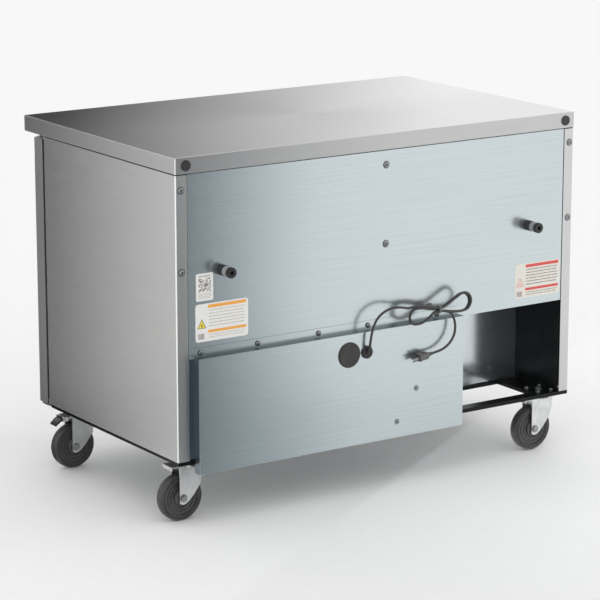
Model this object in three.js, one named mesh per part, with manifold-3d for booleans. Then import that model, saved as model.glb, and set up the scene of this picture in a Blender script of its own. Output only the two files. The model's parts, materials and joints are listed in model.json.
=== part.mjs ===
// Undercounter refrigerator, 48 inch, two doors, on swivel plate casters.
// Millimetres, +Z up, the floor at Z = 0. The doors face -Y and the machine bay faces +Y.
// "right" is the +X side, as seen by a person who stands in front of the doors.
import * as THREE from 'three';
import { mergeVertices } from 'three/addons/utils/BufferGeometryUtils.js';
import Module from 'manifold-3d';

const wasm = await Module();
wasm.setup();

// ---------------------------------------------------------------- driving dimensions

const CABINET_WIDTH = 1225;
const WORKTOP_DEPTH = 757;
const WORKTOP_HEIGHT = 41.5;
const OVERALL_HEIGHT = 918;
const BODY_DEPTH = 653.5;
const SHEET = 1.5;
const GAP = 0.3;

const WHEEL_RADIUS = 60;
const WHEEL_WIDTH = 31;
const CASTER_TRAIL = 28;
const CASTER_INSET = 60;
const REAR_CASTER_SETBACK = 50;
const FRONT_CASTER_SETBACK = 64;
const BUMPER_LENGTH = 48;

// The origin is the middle of the box that the object stands in, at the floor: the trailing
// wheels stand out past the right side, and the bumpers past the rear face.
const WHEEL_OVERHANG = WHEEL_RADIUS + CASTER_TRAIL - CASTER_INSET;
const CENTRE_X = -WHEEL_OVERHANG / 2;
const RIGHT_X = CENTRE_X + CABINET_WIDTH / 2;
const LEFT_X = CENTRE_X - CABINET_WIDTH / 2;
const REAR_Y = (WORKTOP_DEPTH - BUMPER_LENGTH) / 2;
const FRONT_Y = REAR_Y - BODY_DEPTH;

const WORKTOP_BOTTOM = OVERALL_HEIGHT - WORKTOP_HEIGHT;
const BODY_TOP = WORKTOP_BOTTOM - GAP;
const BODY_BOTTOM = 162.5;
const RAIL_BOTTOM = 152;
const RAIL_HEIGHT = 10.2;
const RAIL_DEPTH = 35;
const SIDE_RAIL_WIDTH = 100;

const STRIP_WIDTH = 32;
const PANEL_RECESS = 1;
const PANEL_GAP = 1.8;
const BAY_TOP = 415;
const BAY_DEPTH = 185;
const WALL = 48;
const LINER_FLOOR = 212;
const LINER_STEP = 462;
const LINER_CEILING = 834;

const COVER_RIGHT_INSET = 48.5;
const COVER_WIDTH = 804.5;
const COVER_BOTTOM = 129;
const COVER_TOP = 422;
const COVER_PROUD = 22;

const DOOR_BOTTOM = 159;
const DOOR_TOP = 867.4;
const DOOR_THICKNESS = 42.5;
const GASKET_THICKNESS = 10;
const DOOR_BACK_Y = FRONT_Y - GASKET_THICKNESS;
const DOOR_FRONT_Y = DOOR_BACK_Y - DOOR_THICKNESS;
const DOOR_SIDE_GAP = 1.5;
const DOOR_MIDDLE_GAP = 6;
const DOOR_PIVOT_INSET = 10;

const CORD_DIAMETER = 6.4;
const CORD_STAND_OFF = 38;

const fromRight = (u) => RIGHT_X - u;
const fromRear = (d) => REAR_Y - d;

// ---------------------------------------------------------------- materials

const metal = (color, roughness, metalness = 1) => new THREE.MeshStandardMaterial({ color, roughness, metalness });
const plain = (color, roughness) => new THREE.MeshStandardMaterial({ color, roughness, metalness: 0 });

const stainless = () => metal(0xb9b9b8, 0.34);
const galvanised = () => metal(0xa9b6bb, 0.42);
const blackSteel = () => metal(0x101214, 0.45, 0.3);
const zinc = () => metal(0xb4b6b6, 0.36);
const aluminium = () => metal(0xcfd2d3, 0.4);
const blackRubber = () => plain(0x2c2c2d, 0.7);
const blackPlastic = () => plain(0x232425, 0.55);
const greyPlastic = () => plain(0x8b8a86, 0.5);
const foam = () => plain(0xe3d9a8, 0.9);
const coatedWire = () => plain(0xe8e9e8, 0.35);

// ---------------------------------------------------------------- solid helpers

function toSolid(geometry) {
  const bare = geometry.clone();
  bare.deleteAttribute('normal');
  bare.deleteAttribute('uv');
  const welded = mergeVertices(bare, 1e-4);
  const mesh = new wasm.Mesh({
    numProp: 3,
    vertProperties: new Float32Array(welded.attributes.position.array),
    triVerts: new Uint32Array(welded.index.array),
  });
  return new wasm.Manifold(mesh);
}

function toGeometry(solid) {
  const mesh = solid.getMesh();
  const geometry = new THREE.BufferGeometry();
  geometry.setAttribute('position', new THREE.BufferAttribute(new Float32Array(mesh.vertProperties), 3));
  geometry.setIndex(new THREE.BufferAttribute(new Uint32Array(mesh.triVerts), 1));
  return geometry;
}

function join(...geometries) {
  return toGeometry(geometries.map(toSolid).reduce((whole, part) => whole.add(part)));
}

function cut(base, ...tools) {
  return toGeometry(tools.map(toSolid).reduce((whole, tool) => whole.subtract(tool), toSolid(base)));
}

// A box between two opposite corners, with every corner at exactly those values.
function block(low, high) {
  const geometry = new THREE.BoxGeometry(1, 1, 1);
  const corner = geometry.attributes.position;
  for (let i = 0; i < corner.count; i += 1) {
    corner.setX(i, corner.getX(i) < 0 ? low[0] : high[0]);
    corner.setY(i, corner.getY(i) < 0 ? low[1] : high[1]);
    corner.setZ(i, corner.getZ(i) < 0 ? low[2] : high[2]);
  }
  return geometry;
}

// A cylinder along +Z, or turned to lie along X or Y, centred on a point.
function cylinder(radius, length, centre, axis = 'z', sides = 24, farRadius = radius) {
  const geometry = new THREE.CylinderGeometry(farRadius, radius, length, sides);
  geometry.rotateX(Math.PI / 2);
  if (axis === 'x') geometry.rotateY(Math.PI / 2);
  if (axis === 'y') geometry.rotateX(-Math.PI / 2);
  return geometry.translate(...centre);
}

function shapeOf(points) {
  return new THREE.Shape(points.map(([x, y]) => new THREE.Vector2(x, y)));
}

// Extrudes a shape drawn in (Y, Z) from one X to another.
function extrudeAlongX(shape, fromX, toX, curveSegments = 8) {
  const geometry = new THREE.ExtrudeGeometry(shape, { depth: toX - fromX, bevelEnabled: false, curveSegments });
  const basis = new THREE.Matrix4().makeBasis(
    new THREE.Vector3(0, 1, 0),
    new THREE.Vector3(0, 0, 1),
    new THREE.Vector3(1, 0, 0),
  );
  return geometry.applyMatrix4(basis).translate(fromX, 0, 0);
}

// Extrudes a shape drawn in (X, Z) from one Y to a smaller Y.
function extrudeAlongY(shape, highY, lowY, curveSegments = 8) {
  const geometry = new THREE.ExtrudeGeometry(shape, { depth: highY - lowY, bevelEnabled: false, curveSegments });
  return geometry.rotateX(Math.PI / 2).translate(0, highY, 0);
}

// Extrudes a shape drawn in (X, Y) from one Z to another.
function extrudeAlongZ(shape, fromZ, toZ) {
  const geometry = new THREE.ExtrudeGeometry(shape, { depth: toZ - fromZ, bevelEnabled: false });
  return geometry.translate(0, 0, fromZ);
}

// A rectangle with round corners, drawn anticlockwise.
function roundedRectangle(x0, z0, x1, z1, radius) {
  const shape = new THREE.Shape();
  shape.moveTo(x0 + radius, z0);
  shape.lineTo(x1 - radius, z0);
  shape.absarc(x1 - radius, z0 + radius, radius, -Math.PI / 2, 0);
  shape.lineTo(x1, z1 - radius);
  shape.absarc(x1 - radius, z1 - radius, radius, 0, Math.PI / 2);
  shape.lineTo(x0 + radius, z1);
  shape.absarc(x0 + radius, z1 - radius, radius, Math.PI / 2, Math.PI);
  shape.lineTo(x0, z0 + radius);
  shape.absarc(x0 + radius, z0 + radius, radius, Math.PI, 1.5 * Math.PI);
  return shape;
}

// Turns a profile of (radius, height) points about Z.
function turned(profile, sides, phase = 0) {
  return new THREE.LatheGeometry(profile.map(([r, h]) => new THREE.Vector2(r, h)), sides, phase)
    .rotateX(Math.PI / 2);
}

// A round tube of one diameter along a smooth curve.
function tubeAlong(points, diameter, steps, sides) {
  const section = new THREE.Shape();
  for (let i = 0; i < sides; i += 1) {
    const angle = (2 * Math.PI * i) / sides;
    const x = (diameter / 2) * Math.cos(angle);
    const y = (diameter / 2) * Math.sin(angle);
    if (i === 0) section.moveTo(x, y);
    else section.lineTo(x, y);
  }
  const path = new THREE.CatmullRomCurve3(points.map((p) => new THREE.Vector3(...p)));
  return new THREE.ExtrudeGeometry(section, { steps, extrudePath: path, bevelEnabled: false });
}

const unit = new THREE.Group();

function addPart(name, geometry, material, parent = unit) {
  const mesh = new THREE.Mesh(geometry, material);
  mesh.name = name;
  parent.add(mesh);
  return mesh;
}

// ---------------------------------------------------------------- worktop

const PLUG_RADIUS = 13.5;
const PLUG_INSET = 30;
const PLUG_Z = OVERALL_HEIGHT - 21;

// A folded top: flat skin, four edges and a lip that turns in under each edge.
function makeWorktop() {
  const front = fromRear(WORKTOP_DEPTH);
  const outer = block([LEFT_X, front, WORKTOP_BOTTOM], [RIGHT_X, REAR_Y, OVERALL_HEIGHT]);
  const hollow = block(
    [LEFT_X + SHEET, front + SHEET, WORKTOP_BOTTOM + SHEET],
    [RIGHT_X - SHEET, REAR_Y - SHEET, OVERALL_HEIGHT - SHEET],
  );
  const opening = block(
    [LEFT_X + 30, FRONT_Y + 20, WORKTOP_BOTTOM - 1],
    [RIGHT_X - 30, REAR_Y - 30, WORKTOP_BOTTOM + 2 * SHEET],
  );
  const plugHoles = [fromRight(PLUG_INSET), LEFT_X + PLUG_INSET]
    .map((x) => cylinder(PLUG_RADIUS - 2, 12, [x, REAR_Y, PLUG_Z], 'y', 20));
  addPart('worktop', cut(outer, hollow, opening, ...plugHoles), stainless());
}

// A push-in plug: a low domed head on a short shank.
function makeWorktopPlugs() {
  const profile = [[0, -7], [PLUG_RADIUS - 2.4, -7], [PLUG_RADIUS - 2.4, GAP], [PLUG_RADIUS, GAP],
    [PLUG_RADIUS, 1.2], [PLUG_RADIUS - 1.5, 2.4], [0, 3]];
  for (const [side, x] of [['right', fromRight(PLUG_INSET)], ['left', LEFT_X + PLUG_INSET]]) {
    const head = turned(profile, 20).rotateX(-Math.PI / 2).translate(x, REAR_Y, PLUG_Z);
    addPart(`worktop_plug_${side}`, head, blackPlastic());
  }
}

// ---------------------------------------------------------------- outer shell

// One side of the cabinet: a flat skin with a flange round the rear edge and a front return.
function makeSidePanels() {
  for (const [side, outerX, inward] of [['right', RIGHT_X, -1], ['left', LEFT_X, 1]]) {
    const at = (x, y) => [outerX + inward * x, y];
    const section = [
      at(0, FRONT_Y), at(14, FRONT_Y), at(14, FRONT_Y + SHEET), at(SHEET, FRONT_Y + SHEET),
      at(SHEET, REAR_Y - SHEET), at(STRIP_WIDTH, REAR_Y - SHEET), at(STRIP_WIDTH, REAR_Y), at(0, REAR_Y),
    ];
    addPart(`side_panel_${side}`, extrudeAlongZ(shapeOf(section), BODY_BOTTOM, BODY_TOP), stainless());
  }
}

function makeRearPanel() {
  const outerY = REAR_Y - PANEL_RECESS;
  const section = [
    [outerY, BAY_TOP], [outerY, BODY_TOP - 1], [outerY - SHEET, BODY_TOP - 1],
    [outerY - SHEET, BAY_TOP + SHEET], [outerY - 14, BAY_TOP + SHEET], [outerY - 14, BAY_TOP],
  ];
  const inset = STRIP_WIDTH + PANEL_GAP;
  addPart('rear_panel', extrudeAlongX(shapeOf(section), LEFT_X + inset, RIGHT_X - inset), galvanised());
}

// The bay's ceiling and far wall, one bent sheet.
function makeBayLiner() {
  const wallY = fromRear(BAY_DEPTH);
  const top = BAY_TOP + 2;
  const section = [
    [wallY - SHEET, BODY_BOTTOM], [wallY, BODY_BOTTOM], [wallY, top], [fromRear(16), top],
    [fromRear(16), top + SHEET], [wallY - SHEET, top + SHEET],
  ];
  const inset = STRIP_WIDTH + 2;
  addPart('bay_liner', extrudeAlongX(shapeOf(section), LEFT_X + inset, RIGHT_X - inset), galvanised());
}

function makeBaySide() {
  const x0 = LEFT_X + 34.5;
  const wall = block([x0, fromRear(BAY_DEPTH - GAP), BODY_BOTTOM], [x0 + SHEET, fromRear(3), BAY_TOP - GAP]);
  addPart('bay_side_left', wall, blackSteel());
}

// The shape of the storage space in (Y, Z), grown outward by a margin on every side but the front.
function cavityShape(margin, frontY) {
  const lowRear = fromRear(BAY_DEPTH + WALL) + margin;
  const highRear = fromRear(WALL) + margin;
  return shapeOf([
    [frontY, LINER_FLOOR - margin],
    [lowRear, LINER_FLOOR - margin],
    [lowRear, LINER_STEP - margin],
    [highRear, LINER_STEP - margin],
    [highRear, LINER_CEILING + margin],
    [frontY, LINER_CEILING + margin],
  ]);
}

function makeInsulatedBody() {
  const inset = SHEET + GAP;
  const frontY = FRONT_Y + 3.5;
  const lowRear = fromRear(BAY_DEPTH + inset);
  const highRear = fromRear(PANEL_RECESS + inset);
  const ledge = BAY_TOP + 2 + inset;
  const outline = shapeOf([
    [frontY, BODY_BOTTOM + 2 * inset], [lowRear, BODY_BOTTOM + 2 * inset], [lowRear, ledge],
    [fromRear(16), ledge], [fromRear(16), BAY_TOP + 2], [highRear, BAY_TOP + 2],
    [highRear, BODY_TOP - 0.2], [frontY, BODY_TOP - 0.2],
  ]);
  const outer = extrudeAlongX(outline, LEFT_X + inset, RIGHT_X - inset);
  const cavity = extrudeAlongX(cavityShape(inset, frontY - 5), LEFT_X + WALL - inset, RIGHT_X - WALL + inset);
  addPart('insulated_body', cut(outer, cavity), foam());
}

const SHELF_Z = 560;
const SHELF_CLIP_DEPTH = 14;
const MULLION_WIDTH = 60;

// The liner is one folded sheet with small shelf clips pressed out of its side walls.
function makeInnerLiner() {
  const frontY = FRONT_Y + 3.5;
  const outer = extrudeAlongX(cavityShape(SHEET, frontY), LEFT_X + WALL - SHEET, RIGHT_X - WALL + SHEET);
  const inner = extrudeAlongX(cavityShape(0, frontY - 5), LEFT_X + WALL, RIGHT_X - WALL);
  const clips = [];
  for (const y of [FRONT_Y + 60, fromRear(WALL) - 60]) {
    for (const x of [LEFT_X + WALL - 0.7, RIGHT_X - WALL + 0.7 - SHELF_CLIP_DEPTH]) {
      clips.push(block([x, y - 12, SHELF_Z - 12], [x + SHELF_CLIP_DEPTH, y + 12, SHELF_Z - GAP]));
    }
  }
  addPart('inner_liner', join(cut(outer, inner), ...clips), aluminium());
}

// The front frame that the door gaskets close on, with the post between the doors.
function makeFaceFrame() {
  const halfMullion = MULLION_WIDTH / 2;
  const openings = [[LEFT_X + WALL, CENTRE_X - halfMullion], [CENTRE_X + halfMullion, RIGHT_X - WALL]];
  const face = cut(
    block([LEFT_X + 14 + GAP, FRONT_Y, BODY_BOTTOM + 0.5], [RIGHT_X - 14 - GAP, FRONT_Y + 3, BODY_TOP]),
    ...openings.map(([a, b]) => block([a, FRONT_Y - 1, LINER_FLOOR], [b, FRONT_Y + 4, LINER_CEILING])),
  );
  const postHalf = halfMullion - 0.4;
  const post = cut(
    block(
      [CENTRE_X - postHalf, FRONT_Y + 1, LINER_FLOOR + GAP],
      [CENTRE_X + postHalf, FRONT_Y + 38, LINER_CEILING - GAP],
    ),
    block(
      [CENTRE_X - postHalf + SHEET, FRONT_Y + 5, LINER_FLOOR - 1],
      [CENTRE_X + postHalf - SHEET, FRONT_Y + 38 - SHEET, LINER_CEILING - GAP - SHEET],
    ),
  );
  const clips = [];
  for (const side of [-1, 1]) {
    const x = CENTRE_X + side * (halfMullion + 6);
    clips.push(block([x - 7, FRONT_Y + 24, SHELF_Z - 12], [x + 7, FRONT_Y + 36, SHELF_Z - GAP]));
  }
  addPart('face_frame', join(face, post, ...clips), stainless());
}

function makeFloorSkin() {
  const skin = block(
    [LEFT_X + SHEET + GAP, FRONT_Y + 3.5, BODY_BOTTOM],
    [RIGHT_X - SHEET - GAP, fromRear(BAY_DEPTH + SHEET + GAP), BODY_BOTTOM + SHEET],
  );
  addPart('floor_skin', skin, galvanised());
}

// ---------------------------------------------------------------- rear cover and what it carries

const GLAND_U = 546;
const GLAND_Z = OVERALL_HEIGHT - 549;
const GLAND_RADIUS = 16.5;
const DISC_U = 492;
const DISC_RADIUS = 33;

// A shallow folded pan with a flange along its top and its right edge.
function makeRearCover() {
  const x1 = fromRight(COVER_RIGHT_INSET);
  const x0 = x1 - COVER_WIDTH;
  const outerY = REAR_Y + COVER_PROUD;
  const backY = REAR_Y + GAP;
  const pan = cut(
    block([x0, backY, COVER_BOTTOM], [x1, outerY, COVER_TOP]),
    block([x0 + SHEET, backY - 1, COVER_BOTTOM + SHEET], [x1 - SHEET, outerY - SHEET, COVER_TOP - SHEET]),
  );
  const topFlange = block([x0 + 0.4, backY + 0.2, COVER_TOP - 1], [x1 - 0.4, backY + SHEET, COVER_TOP + 22]);
  const sideFlange = extrudeAlongZ(shapeOf([
    [x1 - 1, backY + 0.2], [x1 + 18.5, backY + 0.2], [x1 + 18.5, backY + 5],
    [x1 + 17, backY + 5], [x1 + 17, backY + SHEET], [x1 - 1, backY + SHEET],
  ]), 166, COVER_TOP - 4);
  const holes = [
    cylinder(GLAND_RADIUS - 5, 8, [fromRight(GLAND_U), outerY, GLAND_Z], 'y', 20),
    cylinder(DISC_RADIUS - 4, 8, [fromRight(DISC_U), outerY, GLAND_Z], 'y', 28),
  ];
  addPart('rear_cover', cut(join(pan, topFlange, sideFlange), ...holes), galvanised());
}

function makeBlankDisc() {
  const profile = [[0, -5], [DISC_RADIUS - 4.4, -5], [DISC_RADIUS - 4.4, GAP], [DISC_RADIUS, GAP],
    [DISC_RADIUS, 1.8], [DISC_RADIUS - 1.8, 3.4], [0, 4]];
  const disc = turned(profile, 28).rotateX(-Math.PI / 2)
    .translate(fromRight(DISC_U), REAR_Y + COVER_PROUD, GLAND_Z);
  addPart('blank_disc', disc, blackPlastic());
}

const BUMPERS = [['right', 129], ['left', 1076]];
const BUMPER_Z = OVERALL_HEIGHT - 287;

// A wall bumper: a thick sleeve, a slimmer nose and a blind hole in the end.
function makeBumpers() {
  const base = -PANEL_RECESS + GAP;
  const profile = [[0, base], [13.5, base], [13.5, 31], [12.4, 32], [12.4, 35], [13.5, 36],
    [13.5, BUMPER_LENGTH], [5, BUMPER_LENGTH], [5, 34], [0, 34]];
  for (const [side, u] of BUMPERS) {
    const bumper = turned(profile, 16).rotateX(-Math.PI / 2).translate(fromRight(u), REAR_Y, BUMPER_Z);
    addPart(`wall_bumper_${side}`, bumper, blackRubber());
  }
}

// ---------------------------------------------------------------- base frame

// A shallow channel that opens downward.
function channel(low, high, wall) {
  const hollow = block([low[0] + wall, low[1] + wall, low[2] - 1], [high[0] - wall, high[1] - wall, high[2] - wall]);
  return cut(block(low, high), hollow);
}

const CASTERS = [
  { name: 'rear_right', x: fromRight(CASTER_INSET), y: fromRear(REAR_CASTER_SETBACK), braked: false },
  { name: 'rear_left', x: LEFT_X + CASTER_INSET, y: fromRear(REAR_CASTER_SETBACK), braked: false },
  { name: 'front_right', x: fromRight(CASTER_INSET), y: FRONT_Y + FRONT_CASTER_SETBACK, braked: true },
  { name: 'front_left', x: LEFT_X + CASTER_INSET, y: FRONT_Y + FRONT_CASTER_SETBACK, braked: true },
];

function makeBase() {
  const top = RAIL_BOTTOM + RAIL_HEIGHT;
  const bottom = RAIL_BOTTOM;
  const rearInner = fromRear(RAIL_DEPTH);
  const midRear = fromRear(BAY_DEPTH - 6);
  const sideStart = FRONT_Y + 3;
  addPart(
    'base_rail_rear',
    channel([LEFT_X + 2, rearInner, bottom], [RIGHT_X - 2, REAR_Y - 0.5, top], 2),
    blackSteel(),
  );
  for (const [side, x0] of [['right', RIGHT_X - SIDE_RAIL_WIDTH], ['left', LEFT_X + 4]]) {
    const x1 = x0 + SIDE_RAIL_WIDTH - 4;
    addPart(
      `base_rail_${side}`,
      channel([x0, sideStart, bottom], [x1, rearInner - GAP, top], 2),
      blackSteel(),
    );
  }
  const span = [LEFT_X + SIDE_RAIL_WIDTH + GAP, RIGHT_X - SIDE_RAIL_WIDTH - GAP];
  addPart(
    'base_rail_middle',
    channel([span[0], midRear - 30, bottom], [span[1], midRear, top], 2),
    blackSteel(),
  );
}

// ---------------------------------------------------------------- casters

const PLATE_TOP = RAIL_BOTTOM - GAP;
const PLATE_SIZE = 64;
const RACE_RADIUS = 26;
const CROWN_TOP = 144;
const CROWN_THICKNESS = 3.5;
const FORK_HALF_GAP = WHEEL_WIDTH / 2 + 3;
const FORK_SHEET = 3;
const WHEEL_SIDES = 24;
const PEDAL_PIVOT = { x: CASTER_TRAIL + 33, z: 137 };

// The fixed part: the bolt plate and the ball race under it.
function makeCasterPlate(caster) {
  const half = PLATE_SIZE / 2;
  const plate = block([-half, -half, PLATE_TOP - 3.5], [half, half, PLATE_TOP]);
  const race = cylinder(RACE_RADIUS, 4, [0, 0, PLATE_TOP - 5.2], 'z', 20);
  const geometry = join(plate, race).translate(caster.x, caster.y, 0);
  addPart(`caster_plate_${caster.name}`, geometry, zinc());
}

// A fork leg in (X, Z): wide at the crown, narrow round the axle.
function legShape() {
  const axleX = CASTER_TRAIL;
  const shape = new THREE.Shape();
  shape.moveTo(axleX + 10.7, CROWN_TOP - 1);
  shape.lineTo(-22, CROWN_TOP - 1);
  shape.lineTo(-22, 92);
  shape.lineTo(0, 63.5);
  shape.lineTo(axleX - 14, 50);
  shape.absarc(axleX, WHEEL_RADIUS - 3, 13.5, 1.25 * Math.PI, 1.8 * Math.PI, false);
  shape.lineTo(axleX + 10.7, 62);
  return shape;
}

function makeFork(caster) {
  const crownBottom = CROWN_TOP - CROWN_THICKNESS;
  const outer = FORK_HALF_GAP + FORK_SHEET;
  const trailEnd = CASTER_TRAIL + (caster.braked ? 28 : 34);
  const crown = block([-30, -outer - 0.3, crownBottom], [trailEnd, outer + 0.3, CROWN_TOP]);
  const collar = cylinder(RACE_RADIUS + 4, 5, [0, 0, crownBottom], 'z', 20);
  const apron = block([-29.7, 0.4 - outer, 118], [-27, outer - 0.4, CROWN_TOP - 0.8]);
  const ends = [];
  if (caster.braked) {
    for (const y of [-18.4, 15.6]) {
      ends.push(block([trailEnd - 8, y, PEDAL_PIVOT.z - 5], [trailEnd + 9, y + 2.8, CROWN_TOP - 0.7]));
    }
  } else {
    ends.push(block([trailEnd - 3, -outer, crownBottom - 6], [trailEnd - 0.3, outer, CROWN_TOP - 1]));
  }
  const gusset = shapeOf([[-29.4, CROWN_TOP - 1.3], [-29.4, 118.5], [-21.5, 96], [-17, 96], [-17, CROWN_TOP - 1.3]]);
  const legs = [];
  for (const [highY, lowY] of [[outer, FORK_HALF_GAP], [-FORK_HALF_GAP, -outer]]) {
    legs.push(extrudeAlongY(legShape(), highY, lowY, 4));
    legs.push(extrudeAlongY(gusset, highY - 0.4, lowY + 0.4));
  }
  const axle = cylinder(5, 2 * outer + 9, [CASTER_TRAIL, 0, WHEEL_RADIUS], 'y', 12);
  const heads = [-1, 1].map((side) => cylinder(
    8.5, 5, [CASTER_TRAIL, side * (outer + 2.4), WHEEL_RADIUS], 'y', 6,
  ));
  const geometry = join(crown, collar, apron, ...ends, ...legs, axle, ...heads);
  addPart(`caster_fork_${caster.name}`, geometry.translate(caster.x, caster.y, 0), zinc());
}

// The wheel turns on the axle. A flat of the rim lies on the floor.
function makeWheel(caster) {
  const half = WHEEL_WIDTH / 2;
  const rim = WHEEL_RADIUS / Math.cos(Math.PI / WHEEL_SIDES);
  const profile = [
    [5.4, -half], [15, -half], [20, -half + 5], [44, -half + 3], [rim, -half + 6], [rim, half - 6],
    [44, half - 3], [20, half - 5], [15, half], [5.4, half],
  ];
  profile.push(profile[0]);
  const geometry = turned(profile, WHEEL_SIDES, Math.PI / WHEEL_SIDES).rotateX(Math.PI / 2);
  geometry.translate(caster.x + CASTER_TRAIL, caster.y, WHEEL_RADIUS);
  addPart(`caster_wheel_${caster.name}`, geometry, blackRubber());
}

// A bent foot lever that hangs out over the tyre behind the crown.
function makeBrakePedal(caster) {
  const side = shapeOf([[0, 3], [0, -3], [8, -5], [23, -15.5], [25.5, -12.5], [10, 1.5]]);
  const lever = extrudeAlongY(side, 14.5, -14.5);
  const barrel = cylinder(4, 30, [0, 0, 0], 'y', 10);
  const geometry = join(lever, barrel).translate(caster.x + PEDAL_PIVOT.x, caster.y, PEDAL_PIVOT.z);
  addPart(`brake_pedal_${caster.name}`, geometry, blackSteel());
}

function makeCasters() {
  for (const caster of CASTERS) {
    makeCasterPlate(caster);
    makeFork(caster);
    makeWheel(caster);
    if (caster.braked) makeBrakePedal(caster);
  }
}

// ---------------------------------------------------------------- doors

const HANDLE_DROP = 62;
const HANDLE_DEPTH = 20;
const GASKET_INSET = 11;
const GASKET_WIDTH = 16;

// A door: a folded pan, open at the back, with a full-width finger recess under its top edge.
function makeDoors() {
  const doors = [
    ['right', CENTRE_X + DOOR_MIDDLE_GAP / 2, RIGHT_X - DOOR_SIDE_GAP],
    ['left', LEFT_X + DOOR_SIDE_GAP, CENTRE_X - DOOR_MIDDLE_GAP / 2],
  ];
  for (const [side, x0, x1] of doors) {
    const skin = SHEET;
    const recessTop = DOOR_TOP - 14;
    const recessBottom = DOOR_TOP - HANDLE_DROP;
    const pan = cut(
      block([x0, DOOR_FRONT_Y, DOOR_BOTTOM], [x1, DOOR_BACK_Y, DOOR_TOP]),
      block([x0 + skin, DOOR_FRONT_Y + skin, DOOR_BOTTOM + skin], [x1 - skin, DOOR_BACK_Y + 1, DOOR_TOP - skin]),
    );
    const pocket = [[x0 + 60, DOOR_FRONT_Y - 1, recessBottom], [x1 - 60, DOOR_FRONT_Y + HANDLE_DEPTH, recessTop]];
    const pocketBack = block(
      [pocket[0][0] - skin, DOOR_FRONT_Y + skin / 2, pocket[0][2] - skin],
      [pocket[1][0] + skin, pocket[1][1] + skin, pocket[1][2] + skin],
    );
    const grip = block(
      [pocket[0][0] - skin / 2, DOOR_FRONT_Y + 0.2, recessTop - 12],
      [pocket[1][0] + skin / 2, DOOR_FRONT_Y + skin - 0.1, recessTop + 0.7],
    );
    const body = join(cut(join(pan, pocketBack), block(...pocket)), grip);
    addPart(`door_${side}`, body, stainless());

    const inner = block(
      [x0 + skin + GAP, DOOR_BACK_Y - SHEET, DOOR_BOTTOM + skin + GAP],
      [x1 - skin - GAP, DOOR_BACK_Y, DOOR_TOP - skin - GAP],
    );
    addPart(`door_inner_${side}`, inner, aluminium());

    const g = GASKET_INSET;
    const z0 = DOOR_BOTTOM + 22;
    const z1 = DOOR_TOP - 14;
    const w = GASKET_WIDTH;
    const ring = cut(
      block([x0 + g, DOOR_BACK_Y + GAP, z0], [x1 - g, FRONT_Y - GAP, z1]),
      block([x0 + g + w, DOOR_BACK_Y - 1, z0 + w], [x1 - g - w, FRONT_Y + 1, z1 - w]),
    );
    addPart(`door_gasket_${side}`, ring, blackRubber());
  }
}

// Each door turns between two pins on brackets that are screwed to the body's front.
function makeHinges() {
  const pivotY = DOOR_BACK_Y - DOOR_THICKNESS / 2;
  for (const [side, outerX, inward] of [['right', RIGHT_X, -1], ['left', LEFT_X, 1]]) {
    const pivotX = outerX + inward * (DOOR_SIDE_GAP + DOOR_PIVOT_INSET);
    const xs = [outerX + inward * 1.5, outerX + inward * 44].sort((a, b) => a - b);
    const levels = [
      ['top', DOOR_TOP + 1.2, DOOR_TOP + 4.2],
      ['bottom', DOOR_BOTTOM - 4.2, DOOR_BOTTOM - 1.2],
    ];
    for (const [level, z0, z1] of levels) {
      const isTop = level === 'top';
      const footTop = isTop ? BODY_TOP : BODY_BOTTOM + 13;
      const y1 = FRONT_Y - GAP;
      const angle = [[pivotY - 10, z0], [y1, z0], [y1, footTop], [y1 - 3, footTop], [y1 - 3, z1], [pivotY - 10, z1]];
      addPart(`hinge_${level}_${side}`, extrudeAlongX(shapeOf(angle), xs[0], xs[1]), zinc());
    }
  }
}

// ---------------------------------------------------------------- inside the cabinet

// A wire shelf: a rim with a row of slots between its wires.
function makeShelves() {
  const frontY = FRONT_Y + 26;
  const rearY = fromRear(WALL) - 45;
  const spans = [
    ['right', CENTRE_X + MULLION_WIDTH / 2 + 6, RIGHT_X - WALL - 4],
    ['left', LEFT_X + WALL + 4, CENTRE_X - MULLION_WIDTH / 2 - 6],
  ];
  const slots = 10;
  for (const [side, x0, x1] of spans) {
    const rim = 8;
    const pitch = (x1 - x0 - rim) / slots;
    const middle = (frontY + rearY) / 2;
    const gaps = [];
    for (let i = 0; i < slots; i += 1) {
      const a = x0 + rim + i * pitch;
      for (const [y0, y1] of [[frontY + rim, middle - 4], [middle + 4, rearY - rim]]) {
        gaps.push(block([a, y0, SHELF_Z - 1], [a + pitch - 5, y1, SHELF_Z + 7]));
      }
    }
    addPart(`shelf_${side}`, cut(block([x0, frontY, SHELF_Z], [x1, rearY, SHELF_Z + 6]), ...gaps), coatedWire());
  }
}

const EVAPORATOR = { x0: CENTRE_X - 190, x1: CENTRE_X + 190, y0: 150, z0: 640 };
const EVAPORATOR_FAN = { x: CENTRE_X + 70, z: 730, radius: 62 };

// A finned block: a solid core with plate fins across it.
function finnedBlock(low, high, finAxis, fins, core) {
  const pitch = (high[finAxis] - low[finAxis]) / fins;
  const parts = [];
  const coreLow = [...low];
  const coreHigh = [...high];
  for (let axis = 0; axis < 3; axis += 1) {
    if (axis !== finAxis) {
      coreLow[axis] += core;
      coreHigh[axis] -= core;
    }
  }
  coreLow[finAxis] += 0.4;
  parts.push(block(coreLow, coreHigh));
  for (let i = 0; i < fins; i += 1) {
    const finLow = [...low];
    const finHigh = [...high];
    finLow[finAxis] = low[finAxis] + i * pitch;
    finHigh[finAxis] = finLow[finAxis] + pitch * 0.35;
    parts.push(block(finLow, finHigh));
  }
  return join(...parts);
}

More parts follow.
